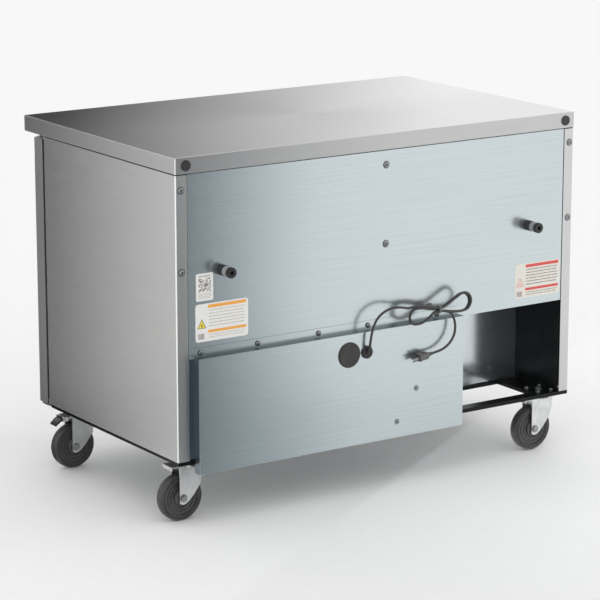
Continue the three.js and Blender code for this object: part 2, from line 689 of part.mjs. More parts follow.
function makeEvaporator() {
  const rear = fromRear(WALL) - GAP;
  const top = LINER_CEILING - GAP;
  const { x0, x1, y0, z0 } = EVAPORATOR;
  const shell = cut(
    block([x0, y0, z0], [x1, rear, top]),
    block([x0 + SHEET, y0 + SHEET, z0 + SHEET], [x1 - SHEET, rear + 1, top - SHEET]),
    cylinder(EVAPORATOR_FAN.radius + 4, 10, [EVAPORATOR_FAN.x, y0, EVAPORATOR_FAN.z], 'y', 24),
    block([x0 + 20, y0 - 1, z0 + 20], [x0 + 150, y0 + 5, top - 20]),
  );
  addPart('evaporator_cover', shell, aluminium());
  const coil = finnedBlock([x0 + 20, y0 + 58, z0 + 14], [x1 - 20, rear - 12, top - 12], 0, 16, 3);
  addPart('evaporator_coil', coil, aluminium());
  addPart('evaporator_fan', fanBlade(EVAPORATOR_FAN.radius, 12), blackPlastic())
    .position.set(EVAPORATOR_FAN.x, y0 + 22, EVAPORATOR_FAN.z);
}

// A fan that turns about Y: a hub with pitched blades.
function fanBlade(radius, hubRadius) {
  const parts = [cylinder(hubRadius, 16, [0, 0, 0], 'y', 16)];
  const blades = 5;
  for (let i = 0; i < blades; i += 1) {
    const blade = new THREE.BoxGeometry(radius - hubRadius + 3, 2, radius * 0.55);
    blade.rotateX(0.5).translate((radius + hubRadius) / 2 - 3.5, 0, 0).rotateY((2 * Math.PI * i) / blades);
    parts.push(blade);
  }
  return join(...parts);
}

// ---------------------------------------------------------------- condensing unit in the bay

const UNIT_END_U = 835;
const TRAY_Z = RAIL_BOTTOM + RAIL_HEIGHT + GAP;
const CONDENSER_FAN = { y: fromRear(100), z: 285, radius: 72 };

function makeCondensingUnit() {
  const x0 = fromRight(UNIT_END_U);
  const x1 = fromRight(120);
  const y0 = fromRear(BAY_DEPTH - 2);
  const y1 = fromRear(8);
  const tray = cut(
    block([x0, y0, TRAY_Z], [x1, y1, TRAY_Z + 14]),
    block([x0 + 2, y0 + 2, TRAY_Z + 2], [x1 - 2, y1 - 2, TRAY_Z + 15]),
  );
  addPart('unit_tray', tray, galvanised());

  const deck = TRAY_Z + 2 + GAP;
  const compressorX = fromRight(400);
  const dome = turned([
    [0, 14], [60, 14], [70, 36], [70, 112], [62, 136], [40, 151], [0, 156],
  ], 20);
  const feet = block([-78, -66, 6], [78, 66, 18]);
  const grommets = [[-66, -54], [66, -54], [-66, 54], [66, 54]].map(([x, y]) => cylinder(8, 14, [x, y, 7], 'z', 10));
  const stub = cylinder(5, 40, [40, 52, 120], 'y', 10);
  addPart('compressor', join(dome, feet, ...grommets, stub), blackSteel())
    .position.set(compressorX, fromRear(100), deck);

  const coilX = fromRight(UNIT_END_U - 6);
  const coil = finnedBlock([coilX, fromRear(168), deck + 6], [coilX + 60, fromRear(26), 400], 2, 14, 3);
  const foot = block([coilX + 10, fromRear(158), deck], [coilX + 50, fromRear(36), deck + 20]);
  addPart('condenser_coil', join(coil, foot), aluminium());

  const shroudX = coilX + 62;
  const fan = CONDENSER_FAN;
  const ring = cut(
    join(
      block([shroudX, fromRear(170), deck + 1], [shroudX + 3, fromRear(24), 398]),
      block([shroudX + 1, fromRear(169), deck], [shroudX + 30, fromRear(25), deck + 3]),
      cylinder(fan.radius + 7, 26, [shroudX + 13, fan.y, fan.z], 'x', 28),
    ),
    cylinder(fan.radius + 4, 60, [shroudX + 13, fan.y, fan.z], 'x', 28),
  );
  const motor = cylinder(24, 40, [shroudX + 54, fan.y, fan.z], 'x', 16);
  const arms = [];
  for (const side of [-1, 1]) {
    const y = fan.y + side * (fan.radius + 5.5);
    arms.push(block([shroudX + 20, y - 2, fan.z - 5], [shroudX + 66, y + 2, fan.z + 5]));
  }
  arms.push(block(
    [shroudX + 60, fan.y - fan.radius - 5.5, fan.z - 4.6],
    [shroudX + 65.6, fan.y + fan.radius + 5.5, fan.z + 4.6],
  ));
  addPart('condenser_shroud', join(ring, motor, ...arms), blackSteel());
  const blade = addPart('condenser_fan', fanBlade(fan.radius, 14), aluminium());
  blade.rotation.set(0, 0, -Math.PI / 2);
  blade.position.set(shroudX + 18, fan.y, fan.z);
}

// ---------------------------------------------------------------- mains cord

// The cord lies in one upright plane behind the cover, and its tail hangs a little further out.
const CORD_Y = REAR_Y + CORD_STAND_OFF;
const RELIEF_RADIUS = 22;
const RELIEF_START = (40 * Math.PI) / 180;
const RELIEF_END = (80 * Math.PI) / 180;
const GLAND_FACE = COVER_PROUD + 5;

// The snap-in gland and the slanted strain relief that turns the cord upward.
function makeCordGland() {
  const x = fromRight(GLAND_U);
  const flange = turned([
    [0, -8], [GLAND_RADIUS - 5.4, -8], [GLAND_RADIUS - 5.4, GAP], [GLAND_RADIUS, GAP],
    [GLAND_RADIUS, 3], [GLAND_RADIUS - 4, 5.5], [0, 5.5],
  ], 20).rotateX(-Math.PI / 2).translate(x, REAR_Y + COVER_PROUD, GLAND_Z);
  const points = [[x, REAR_Y + COVER_PROUD + 2, GLAND_Z - 2.5]];
  const steps = 5;
  for (let i = 0; i <= steps; i += 1) {
    const angle = RELIEF_START + ((RELIEF_END - RELIEF_START) * i) / steps;
    points.push([
      x,
      REAR_Y + GLAND_FACE + RELIEF_RADIUS * (Math.sin(angle) - Math.sin(RELIEF_START)),
      GLAND_Z + RELIEF_RADIUS * (Math.cos(RELIEF_START) - Math.cos(angle)),
    ]);
  }
  addPart('cord_gland', join(flange, tubeAlong(points, 9.6, 8, 8)), blackRubber());
}

// The cord's first stretch, from the strain relief up and over to the hank.
const LEAD_ROUTE = [
  [52.5, CORD_Y - 3.4, 382.5],
  [52.3, CORD_Y - 2.4, 389],
  [51, CORD_Y - 1.4, 401],
  [49, CORD_Y - 0.6, 415],
  [45.5, CORD_Y, 430],
  [40, CORD_Y, 443],
  [32.5, CORD_Y, 454.5],
  [22, CORD_Y, 464],
  [8.5, CORD_Y, 471.5],
  [-6, CORD_Y, 476],
  [-21, CORD_Y, 477.6],
  [-36, CORD_Y, 476.5],
  [-50, CORD_Y, 473.8],
  [-63, CORD_Y, 470.8],
];

// The last stretch, from the hank down in an arc to the plug.
const TAIL_ROUTE = [
  [-203, CORD_Y, 436.5],
  [-207.5, CORD_Y + 1, 428],
  [-210.5, CORD_Y + 3, 416],
  [-211, CORD_Y + 4.5, 402],
  [-208.5, CORD_Y + 5.5, 388],
  [-202.5, CORD_Y + 6, 375],
  [-193, CORD_Y + 6, 363.5],
  [-180.5, CORD_Y + 5.5, 354],
  [-166, CORD_Y + 4.5, 347.8],
  [-152, CORD_Y + 4, 344.7],
  [-138.5, CORD_Y + 3.5, 342.8],
];

const HANK_NEAR = { x: -86, z: 446.2, r: 21 };
const HANK_FAR = { x: -238.5, z: 465.8, r: 25 };
const HANK_TIE = { x: -161, z: 454.8, half: 8 };
const HANK_HALF_DEPTH = 7.5;

// The hank's outer shape: two loops with round ends, drawn in at the tie between them.
function makeHank() {
  const { x: nx, z: nz, r: nr } = HANK_NEAR;
  const { x: fx, z: fz, r: fr } = HANK_FAR;
  const { x: tx, z: tz, half } = HANK_TIE;
  const tilt = Math.atan2(fz - nz, nx - fx);
  const quarter = Math.PI / 2;
  const shape = new THREE.Shape();
  shape.absarc(nx, nz, nr, -quarter + 0.25 - tilt, quarter - 0.25 - tilt, false);
  shape.lineTo(tx + 6, tz + half);
  shape.lineTo(tx - 6, tz + half + 1);
  shape.absarc(fx, fz, fr, quarter + 0.2 - tilt, 3 * quarter - 0.2 - tilt, false);
  shape.lineTo(tx - 6, tz - half + 1);
  shape.lineTo(tx + 6, tz - half);
  const hank = extrudeAlongY(shape, CORD_Y + HANK_HALF_DEPTH, CORD_Y - HANK_HALF_DEPTH, 10);
  addPart('cord_hank', hank, blackRubber());
}

// A push-mount tie: a foot on the rear panel, a stalk and a band round the hank's waist.
function makeTie() {
  const { x, z, half } = HANK_TIE;
  const band = { low: [x - 3.5, CORD_Y - HANK_HALF_DEPTH, z - half], high: [x + 3.5, CORD_Y + HANK_HALF_DEPTH, z + half] };
  const grow = (amount) => block(
    [band.low[0] - (amount > 2 ? 0 : 5), band.low[1] - amount, band.low[2] - amount],
    [band.high[0] + (amount > 2 ? 0 : 5), band.high[1] + amount, band.high[2] + amount + 1],
  );
  const ring = cut(grow(2.6), grow(0.6));
  const rearY = REAR_Y - PANEL_RECESS + GAP;
  const stalk = block([x - 3, rearY, z - 3], [x + 3, band.low[1] - 1.5, z + 3]);
  const foot = cylinder(9, 4, [x, rearY + 2, z], 'y', 16);
  addPart('cord_tie', join(ring, stalk, foot), greyPlastic());
}

function makePlug() {
  const body = roundedRectangle(-13, -11, 13, 11, 6);
  const geometry = new THREE.ExtrudeGeometry(body, { depth: 30, bevelEnabled: false, curveSegments: 3 });
  const neck = cylinder(5.5, 14, [0, 0, -6.8], 'z', 12, 9);
  const blades = [-1, 1].map((side) => block([side * 6.4 - 0.8, -3.2, 29], [side * 6.4 + 0.8, 3.2, 46]));
  const pin = cylinder(2.4, 20, [0, -6.5, 39], 'z', 10);
  const plug = addPart('cord_plug', join(geometry, neck, ...blades, pin), blackRubber());
  const end = new THREE.Vector3(...TAIL_ROUTE[TAIL_ROUTE.length - 1]);
  const before = new THREE.Vector3(...TAIL_ROUTE[TAIL_ROUTE.length - 2]);
  const forward = end.clone().sub(before).normalize();
  plug.quaternion.setFromUnitVectors(new THREE.Vector3(0, 0, 1), forward);
  plug.position.copy(end).addScaledVector(forward, 13.8 + GAP);
}

function makeCord() {
  addPart('cord_lead', tubeAlong(LEAD_ROUTE, CORD_DIAMETER, 22, 8), blackRubber());
  addPart('cord_tail', tubeAlong(TAIL_ROUTE, CORD_DIAMETER, 14, 8), blackRubber());
}

// ---------------------------------------------------------------- assembly

makeWorktop();
makeWorktopPlugs();
makeSidePanels();
makeRearPanel();
makeBayLiner();
makeBaySide();
makeInsulatedBody();
makeInnerLiner();
makeFaceFrame();
makeFloorSkin();
makeRearCover();
makeBlankDisc();
makeBumpers();
makeBase();
makeCasters();
makeDoors();
makeHinges();
makeShelves();
makeEvaporator();
makeCondensingUnit();
makeCordGland();
makeHank();
makeTie();
makePlug();
makeCord();

export default unit;
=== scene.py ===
import json
import math

import bmesh
import bpy
from mathutils import Matrix, Vector


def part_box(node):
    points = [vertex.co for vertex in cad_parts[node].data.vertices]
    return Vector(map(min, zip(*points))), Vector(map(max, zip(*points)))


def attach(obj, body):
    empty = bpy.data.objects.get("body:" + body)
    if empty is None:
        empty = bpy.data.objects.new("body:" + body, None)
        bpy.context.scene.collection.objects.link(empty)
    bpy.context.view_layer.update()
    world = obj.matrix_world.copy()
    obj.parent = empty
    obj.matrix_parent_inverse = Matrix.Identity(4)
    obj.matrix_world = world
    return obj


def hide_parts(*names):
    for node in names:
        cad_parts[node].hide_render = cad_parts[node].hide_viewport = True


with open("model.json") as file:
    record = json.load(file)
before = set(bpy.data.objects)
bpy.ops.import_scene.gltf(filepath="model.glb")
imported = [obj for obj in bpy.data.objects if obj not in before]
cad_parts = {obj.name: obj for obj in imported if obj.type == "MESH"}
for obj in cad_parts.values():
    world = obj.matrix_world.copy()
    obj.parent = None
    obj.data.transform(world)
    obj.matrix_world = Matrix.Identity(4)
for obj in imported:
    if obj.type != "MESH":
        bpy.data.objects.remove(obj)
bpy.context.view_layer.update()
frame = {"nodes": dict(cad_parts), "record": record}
RECORD = frame["record"]
NODES = frame["nodes"]
BODY_OF = {n: b for b, names in RECORD["behaviour"]["bodies"].items() for n in names}

# The same driving sizes as the solids have, in metres.
RIGHT_X = 0.5985
LEFT_X = -0.6265
CENTRE_X = -0.014
REAR_Y = 0.3545
FRONT_Y = -0.299
TOP_Z = 0.918
COVER_OUT = 22  # mm that the cover's face stands off the rear panel
DOOR_BOTTOM = 0.159
DOOR_TOP = 0.8674
BACK = (0, 1, 0)
UP = (0, 0, 1)


def at(u, d, h):
    """A point from its distances from the right side, in from the rear face and below the worktop, in mm."""
    return Vector((RIGHT_X - u / 1000, REAR_Y - d / 1000, TOP_Z - h / 1000))


# ---------------------------------------------------------------- camera

CAMERA_AT = Vector((3.835, 5.713, 2.061))
CAMERA_AIM = Vector((-0.5419, -0.8079, -0.2316))

camera_data = bpy.data.cameras.new("camera")
camera_data.lens = 160.4
camera_data.sensor_width = 36.0
camera_data.clip_start = 0.1
camera_data.clip_end = 100.0
camera = bpy.data.objects.new("camera", camera_data)
camera.location = CAMERA_AT
camera.rotation_mode = "QUATERNION"
camera.rotation_quaternion = CAMERA_AIM.to_track_quat("-Z", "Y")
bpy.context.scene.collection.objects.link(camera)
bpy.context.scene.camera = camera


# ---------------------------------------------------------------- node material helpers


class Shader:
    """A Principled material with short ways to add the nodes that the finishes share."""

    def __init__(self, name, color, roughness, metallic=0.0, **settings):
        self.material = bpy.data.materials.new(name)
        self.material.use_nodes = True
        self.tree = self.material.node_tree
        self.surface = self.tree.nodes["Principled BSDF"]
        self.color = (*color, 1.0)
        self.set("Base Color", self.color)
        self.set("Roughness", roughness)
        self.set("Metallic", metallic)
        for key, value in settings.items():
            self.set(key.replace("_", " "), value)
        self.coords = self.tree.nodes.new("ShaderNodeTexCoord").outputs["Object"]

    def set(self, socket, value):
        self.surface.inputs[socket].default_value = value

    def link(self, a, b):
        self.tree.links.new(a, b)

    def node(self, kind, **inputs):
        """A new node. Each input, named with _ for a space, takes a value or a link from another node."""
        made = self.tree.nodes.new("ShaderNode" + kind)
        for key, value in inputs.items():
            socket = made.inputs[key.replace("_", " ")]
            if isinstance(value, bpy.types.NodeSocket):
                self.link(value, socket)
            else:
                socket.default_value = value
        return made

    def noise(self, scale, detail=3.0, roughness=0.55, stretch=(1, 1, 1)):
        place = self.node("Mapping", Scale=stretch, Vector=self.coords).outputs["Vector"]
        made = self.node("TexNoise", Scale=scale, Detail=detail, Roughness=roughness, Vector=place)
        return made.outputs["Fac"]

    def cells(self, scale):
        return self.node("TexVoronoi", Scale=scale, Vector=self.coords).outputs["Distance"]

    def remap(self, value, low, high, source=(0.25, 0.75)):
        made = self.node("MapRange", Value=value, From_Min=source[0], From_Max=source[1], To_Min=low,
                         To_Max=high)
        return made.outputs["Result"]

    def math(self, operation, a, b):
        node = self.tree.nodes.new("ShaderNodeMath")
        node.operation = operation
        for socket, value in zip(node.inputs, (a, b)):
            if isinstance(value, (int, float)):
                socket.default_value = value
            else:
                self.link(value, socket)
        return node.outputs[0]

    def weigh(self, *parts):
        """The sum of some values, each times its weight."""
        total, *others = [self.math("MULTIPLY", value, weight) for value, weight in parts]
        for term in others:
            total = self.math("ADD", total, term)
        return total

    def shade(self, value, dark, light):
        """Base colour varies between two colours with a 0 to 1 value."""
        node = self.tree.nodes.new("ShaderNodeMix")
        node.data_type = "RGBA"
        node.inputs[6].default_value = (*dark, 1.0)
        node.inputs[7].default_value = (*light, 1.0)
        self.link(value, node.inputs[0])
        self.link(node.outputs[2], self.surface.inputs["Base Color"])

    def rough(self, value):
        self.link(value, self.surface.inputs["Roughness"])

    def bump(self, height, strength, distance):
        made = self.node("Bump", Height=height, Strength=strength, Distance=distance)
        self.link(made.outputs["Normal"], self.surface.inputs["Normal"])


def tone(color, factor):
    return tuple(min(1.0, c * factor) for c in color)


GRAIN = {"x": (0.012, 1, 1), "y": (1, 0.012, 1), "z": (1, 1, 0.012)}


def brushed(name, color, along, roughness, contrast):
    """Sheet metal with fine parallel brush lines along one axis, and broad faint clouds."""
    s = Shader(name, color, roughness, 1.0, Anisotropic=0.35)
    stretch = tuple(max(v, 0.02) for v in GRAIN[along])
    fine = s.noise(760, 2.0, 0.6, stretch)
    broad = s.noise(170, 3.0, 0.6, stretch)
    cloud = s.noise(3.2, 2.0)
    mixed = s.weigh((s.weigh((fine, 0.5), (broad, 0.5)), 0.8), (cloud, 0.2))
    s.shade(s.remap(mixed, 0, 1, (0.3, 0.7)), tone(color, 1 - contrast), tone(color, 1 + contrast))
    s.rough(s.remap(fine, roughness - 0.04, roughness + 0.06))
    s.bump(fine, 0.07, 0.0003)
    return s.material


def galvanised(name, color, along, roughness, contrast=0.05, relief=0.12):
    """Zinc-coated sheet with faint roll lines and a soft blue-grey cloud of spangle."""
    s = Shader(name, color, roughness, 0.92)
    rolled = s.noise(260, 3.0, 0.6, GRAIN[along])
    cloud = s.noise(2.6, 3.0)
    spangle = s.remap(s.cells(95), 0, 1, (0.0, 0.9))
    mixed = s.weigh((rolled, 0.7), (spangle, 0.08), (cloud, 0.2))
    s.shade(s.remap(mixed, 0, 1, (0.2, 0.8)), tone(color, 1 - contrast), tone(color, 1 + contrast))
    s.rough(s.remap(mixed, roughness - 0.03, roughness + 0.04, (0.1, 0.9)))
    s.bump(rolled, relief, 0.0004)
    return s.material


def painted(name, color, roughness=0.42, peel=0.1, shine=0.5):
    """Satin paint with a fine orange peel and dust in the broad low spots."""
    s = Shader(name, color, roughness, 0.0, Coat_Weight=0.3 * shine, Coat_Roughness=0.3,
               Specular_IOR_Level=shine)
    peel_noise = s.noise(420, 2.0)
    dust = s.noise(22, 4.0, 0.65)
    s.shade(s.remap(dust, 0, 1, (0.35, 0.75)), tone(color, 0.9), tuple(c * 1.1 + 0.003 for c in color))
    s.rough(s.remap(dust, roughness - 0.02, roughness + 0.04))
    s.bump(peel_noise, peel * 0.5, 0.0004)
    return s.material


def zinc_plate(name, color, roughness):
    """Bright zinc plating with a cloudy bloom and small scuffs."""
    s = Shader(name, color, roughness, 1.0)
    bloom = s.noise(34, 4.0, 0.6)
    scuff = s.noise(240, 3.0, 0.6, (1, 1, 0.2))
    mixed = s.weigh((bloom, 0.6), (scuff, 0.4))
    s.shade(s.remap(mixed, 0, 1, (0.3, 0.7)), tone(color, 0.8), tone(color, 1.12))
    s.rough(s.remap(mixed, roughness - 0.06, roughness + 0.16))
    s.bump(scuff, 0.08, 0.0003)
    return s.material


def moulded(name, color, roughness=0.55, grain=0.18, scale=900):
    """Moulded rubber or plastic: a fine spark-eroded grain and slightly greyer high spots."""
    s = Shader(name, color, roughness)
    fine = s.noise(scale, 2.0)
    bloom = s.noise(40, 3.0)
    s.shade(s.remap(bloom, 0, 1, (0.3, 0.7)), tone(color, 0.8), tuple(c * 1.15 + 0.006 for c in color))
    s.rough(s.remap(bloom, roughness - 0.06, roughness + 0.08))
    s.bump(fine, grain, 0.0003)
    return s.material


def foam_finish(name):
    """Rigid closed-cell foam, with cells and a pale skin."""
    s = Shader(name, (0.78, 0.68, 0.42), 0.85)
    cells = s.cells(700)
    cloud = s.noise(18, 4.0)
    s.shade(s.remap(cloud, 0, 1), (0.66, 0.55, 0.3), (0.84, 0.76, 0.52))
    s.bump(cells, 0.4, 0.001)
    return s.material


def copper_finish(name):
    s = Shader(name, (0.72, 0.36, 0.2), 0.3, 1.0)
    patina = s.noise(60, 4.0, 0.6)
    s.shade(s.remap(patina, 0, 1), (0.45, 0.2, 0.12), (0.8, 0.45, 0.28))
    s.rough(s.remap(patina, 0.24, 0.45))
    s.bump(patina, 0.05, 0.0003)
    return s.material


def paper_label(name, color):
    """A vinyl sticker: flat colour with a faint print mottle and a satin laminate."""
    s = Shader(name, color, 0.38, 0.0, Coat_Weight=0.2, Coat_Roughness=0.25)
    mottle = s.noise(300, 3.0)
    s.shade(s.remap(mottle, 0, 1), tone(color, 0.95), tone(color, 1.03))
    s.bump(mottle, 0.03, 0.0002)
    return s.material


# ---------------------------------------------------------------- finishes

FINISHES = {
    "top": (brushed, (0.6, 0.6, 0.6), "x", 0.3, 0.05),
    # painted shade: a darker copy of the top's steel for the worktop's upright faces
    "edge": (brushed, (0.53, 0.53, 0.53), "x", 0.37, 0.05),
    "side": (brushed, (0.6, 0.6, 0.595), "y", 0.36, 0.06),
    "strip": (brushed, (0.6, 0.6, 0.6), "z", 0.4, 0.05),
    # painted highlight: a near-white copy of the sheet steel for the rounded fold faces, so that they read
    # as a bright line
    "fold": (brushed, (0.97, 0.97, 0.965), "z", 0.3, 0.02),
    # painted shade: a darker copy of the door steel for the doors' upright side faces
    "door_edge": (brushed, (0.46, 0.46, 0.46), "z", 0.45, 0.05),
    "door": (brushed, (0.62, 0.62, 0.615), "x", 0.33, 0.06),
    "frame": (brushed, (0.56, 0.56, 0.555), "z", 0.38, 0.06),
    "panel": (galvanised, (0.545, 0.605, 0.62), "x", 0.23, 0.07, 0.004),
    "cover": (galvanised, (0.545, 0.605, 0.62), "x", 0.23, 0.07, 0.004),
    # painted shade: a dark copy of the cover's galvanised sheet for its top face and side flange, and below
    # a mid-dark copy for its upright side wall
    "cover_fold": (galvanised, (0.15, 0.19, 0.215), "x", 0.35, 0.05, 0.02),
    "cover_wall": (galvanised, (0.26, 0.31, 0.34), "z", 0.3, 0.05, 0.02),
    "bay": (galvanised, (0.6, 0.65, 0.675), "x", 0.15, 0.03, 0.003),
    "tray": (galvanised, (0.5, 0.53, 0.54), "x", 0.42),
    "black": (painted, (0.006, 0.0068, 0.0075), 0.22, 0.05, 0.16),
    "pedal": (painted, (0.014, 0.014, 0.015), 0.2, 0.05),
    "compressor": (painted, (0.018, 0.018, 0.02), 0.5, 0.2),
    "zinc": (zinc_plate, (0.74, 0.745, 0.74), 0.28),
    "screw": (zinc_plate, (0.36, 0.365, 0.37), 0.34),
    # painted shade: a flat near-black finish laid on screw dimples and recesses, on the foam's faces seen
    # through gaps and on the doors' backs
    "dark": (painted, (0.02, 0.022, 0.024), 0.7),
    "tyre": (moulded, (0.042, 0.042, 0.043), 0.38, 0.1, 700),
    "hub": (moulded, (0.055, 0.055, 0.057), 0.38, 0.08, 500),
    "bumper": (moulded, (0.022, 0.022, 0.023), 0.6),
    "sleeve": (moulded, (0.34, 0.34, 0.345), 0.4),
    "plastic": (moulded, (0.03, 0.027, 0.026), 0.5),
    "cord": (moulded, (0.035, 0.032, 0.031), 0.42, 0.08, 600),
    "gasket": (moulded, (0.06, 0.06, 0.062), 0.5, 0.1),
    "aluminium": (brushed, (0.72, 0.73, 0.735), "z", 0.38, 0.05),
    "fins": (brushed, (0.7, 0.71, 0.72), "z", 0.32, 0.08),
    "fan_white": (moulded, (0.05, 0.052, 0.055), 0.4, 0.06),
    "foam": (foam_finish,),
    "copper": (copper_finish,),
    "wire": (painted, (0.72, 0.73, 0.73), 0.3, 0.05),
    "nylon": (moulded, (0.13, 0.125, 0.12), 0.4, 0.08, 500),
    "brass": (zinc_plate, (0.3, 0.3, 0.295), 0.34),
    "plug": (moulded, (0.095, 0.09, 0.088), 0.36, 0.05, 600),
    "paper_white": (paper_label, (0.78, 0.78, 0.75)),
    "paper_cream": (paper_label, (0.68, 0.66, 0.6)),
    "ink_grey": (paper_label, (0.33, 0.33, 0.33)),
    "ink_pale": (paper_label, (0.52, 0.47, 0.42)),
    "ink_brown": (paper_label, (0.22, 0.17, 0.16)),
    "ink_black": (paper_label, (0.06, 0.06, 0.06)),
    "ink_orange": (paper_label, (0.85, 0.38, 0.05)),
    "ink_yellow": (paper_label, (0.85, 0.68, 0.05)),
    "ink_red": (paper_label, (0.62, 0.06, 0.05)),
}
M = {key: make(key + "_finish", *values) for key, (make, *values) in FINISHES.items()}


# ---------------------------------------------------------------- mesh helpers


def publish(name, bm, material, body, node=None, smooth=True, sharp=50.0):
    """Turns a bmesh into a shown object that rides on a body."""
    mesh = bpy.data.meshes.new(name)
    bmesh.ops.recalc_face_normals(bm, faces=bm.faces)
    bm.to_mesh(mesh)
    bm.free()
    for item in material if isinstance(material, list) else [material]:
        mesh.materials.append(item)
    if smooth:
        mesh.polygons.foreach_set("use_smooth", [True] * len(mesh.polygons))
        mesh.set_sharp_from_angle(angle=math.radians(sharp))
    obj = bpy.data.objects.new(name, mesh)
    bpy.context.scene.collection.objects.link(obj)
    if smooth:
        obj.modifiers.new("weighted", "WEIGHTED_NORMAL").keep_sharp = True
    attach(obj, body)
    if node:
        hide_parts(node)
    return obj


def skin(node, bm, material, sharp=50.0):
    """The shown piece that stands for a CAD node and moves as it does."""
    return publish(node + "_skin", bm, material, BODY_OF[node], node, sharp=sharp)


def round_edges(bm, test, size, segments):
    chosen = [e for e in bm.edges if e.is_manifold and test(e)]
    if chosen:
        bmesh.ops.bevel(bm, geom=chosen, offset=size, segments=segments, profile=0.5, affect="EDGES",
                        clamp_overlap=True)


def refine(node, material, bevel=0.0006, segments=2, rules=(), faces=None, settle=None):
    """A copy of a CAD node with flat faces merged, its edges rounded and its own finish."""
    bm = bmesh.new()
    bm.from_mesh(NODES[node].data)
    if settle:
        for vert in bm.verts:
            settle(vert.co)
    bmesh.ops.remove_doubles(bm, verts=bm.verts, dist=1e-6)
    bmesh.ops.dissolve_limit(
        bm, angle_limit=math.radians(1.0), verts=bm.verts, edges=bm.edges, delimit={"NORMAL"}
    )
    for test, size, count in rules:
        round_edges(bm, lambda e: e.calc_face_angle(0) > 0.6 and test(e), size, count)
    if bevel:
        round_edges(bm, lambda e: e.calc_face_angle(0) > math.radians(55), bevel, segments)
    if faces:
        for face in bm.faces:
            face.material_index = faces(face)
    skin(node, bm, material)


def basis_for(axis):
    """A rotation that turns +Z to the given axis."""
    return Vector(axis).normalized().to_track_quat("Z", "Y").to_matrix().to_4x4()


def mm(*points):
    """Points in metres, from millimetres."""
    return [tuple(value / 1000 for value in point) for point in points]


def add_lathe(bm, profile, origin, axis, sides, index=0, phase=0.0):
    """Adds a turned shape from (radius, height) points. Points with radius 0 close on the axis."""
    turn = Matrix.Translation(origin) @ basis_for(axis)
    rings = []
    for radius, height in profile:
        if radius <= 1e-9:
            rings.append([bm.verts.new(turn @ Vector((0, 0, height)))])
            continue
        ring = []
        for i in range(sides):
            a = 2 * math.pi * i / sides + phase
            ring.append(bm.verts.new(turn @ Vector((radius * math.cos(a), radius * math.sin(a), height))))
        rings.append(ring)
    for low, high in zip(rings, rings[1:]):
        for i in range(sides):
            j = (i + 1) % sides
            corners = [low[i % len(low)], low[j % len(low)], high[j % len(high)], high[i % len(high)]]
            unique = list(dict.fromkeys(corners))
            if len(unique) >= 3:
                bm.faces.new(unique).material_index = index


def add_box(bm, low, high, index=0, turn=None):
    """Adds a box between two corners, or one turned by a matrix."""
    corners = []
    for z in (low[2], high[2]):
        for y in (low[1], high[1]):
            for x in (low[0], high[0]):
                point = Vector((x, y, z))
                corners.append(bm.verts.new(turn @ point if turn else point))
    for quad in ((0, 2, 3, 1), (4, 5, 7, 6), (0, 1, 5, 4), (2, 6, 7, 3), (0, 4, 6, 2), (1, 3, 7, 5)):
        bm.faces.new([corners[i] for i in quad]).material_index = index


def add_prism(bm, outline, low, high, turn=None, index=0):
    """Adds a prism from (a, b) points, between two heights along its own third axis."""
    turn = turn or Matrix.Identity(4)
    rings = [[bm.verts.new(turn @ Vector((a, b, h))) for a, b in outline] for h in (low, high)]
    faces = [bm.faces.new(list(reversed(rings[0]))), bm.faces.new(rings[1])]
    for i in range(len(outline)):
        j = (i + 1) % len(outline)
        faces.append(bm.faces.new([rings[0][i], rings[0][j], rings[1][j], rings[1][i]]))
    for face in faces:
        face.material_index = index


def add_ring(bm, centre, u, v, radius, sides):
    """A circle of vertices in the plane of two unit vectors."""
    turns = [2 * math.pi * i / sides for i in range(sides)]
    return [bm.verts.new(centre + (u * math.cos(a) + v * math.sin(a)) * radius) for a in turns]


def join_rings(bm, rings, index=0, ends=True):
    """Faces between rings of vertices in turn, and over the two ends."""
    sides = len(rings[0])
    for low, high in zip(rings, rings[1:]):
        for i in range(sides):
            j = (i + 1) % sides
            bm.faces.new([low[i], low[j], high[j], high[i]]).material_index = index
    if ends:
        bm.faces.new(list(reversed(rings[0]))).material_index = index
        bm.faces.new(rings[-1]).material_index = index


def add_tube(bm, points, radius, sides, index=0, ends=True):
    """Adds a round tube through points, with frames carried along it."""
    points = [Vector(p) for p in points]
    tangents = []
    for i in range(len(points)):
        tangents.append((points[min(i + 1, len(points) - 1)] - points[max(i - 1, 0)]).normalized())
    normal = tangents[0].orthogonal().normalized()
    rings = []
    for point, tangent in zip(points, tangents):
        normal = (normal - tangent * normal.dot(tangent)).normalized()
        rings.append(add_ring(bm, point, normal, tangent.cross(normal), radius, sides))
    join_rings(bm, rings, index, ends)


def smooth_path(points, step):
    """A centripetal Catmull-Rom curve through points, sampled about every step."""
    points = [Vector(p) for p in points]
    extended = [points[0] * 2 - points[1], *points, points[-1] * 2 - points[-2]]
    result = []
    for p0, p1, p2, p3 in zip(extended, extended[1:], extended[2:], extended[3:]):
        t0 = 0.0
        t1 = t0 + max((p1 - p0).length, 1e-6) ** 0.5
        t2 = t1 + max((p2 - p1).length, 1e-6) ** 0.5
        t3 = t2 + max((p3 - p2).length, 1e-6) ** 0.5
        count = max(2, int((p2 - p1).length / step + 0.5))
        for i in range(count):
            t = t1 + (t2 - t1) * i / count
            a1 = p0 * ((t1 - t) / (t1 - t0)) + p1 * ((t - t0) / (t1 - t0))
            a2 = p1 * ((t2 - t) / (t2 - t1)) + p2 * ((t - t1) / (t2 - t1))
            a3 = p2 * ((t3 - t) / (t3 - t2)) + p3 * ((t - t2) / (t3 - t2))
            b1 = a1 * ((t2 - t) / (t2 - t0)) + a2 * ((t - t0) / (t2 - t0))
            b2 = a2 * ((t3 - t) / (t3 - t1)) + a3 * ((t - t1) / (t3 - t1))
            result.append(b1 * ((t2 - t) / (t2 - t1)) + b2 * ((t - t1) / (t2 - t1)))
    result.append(points[-1])
    return result


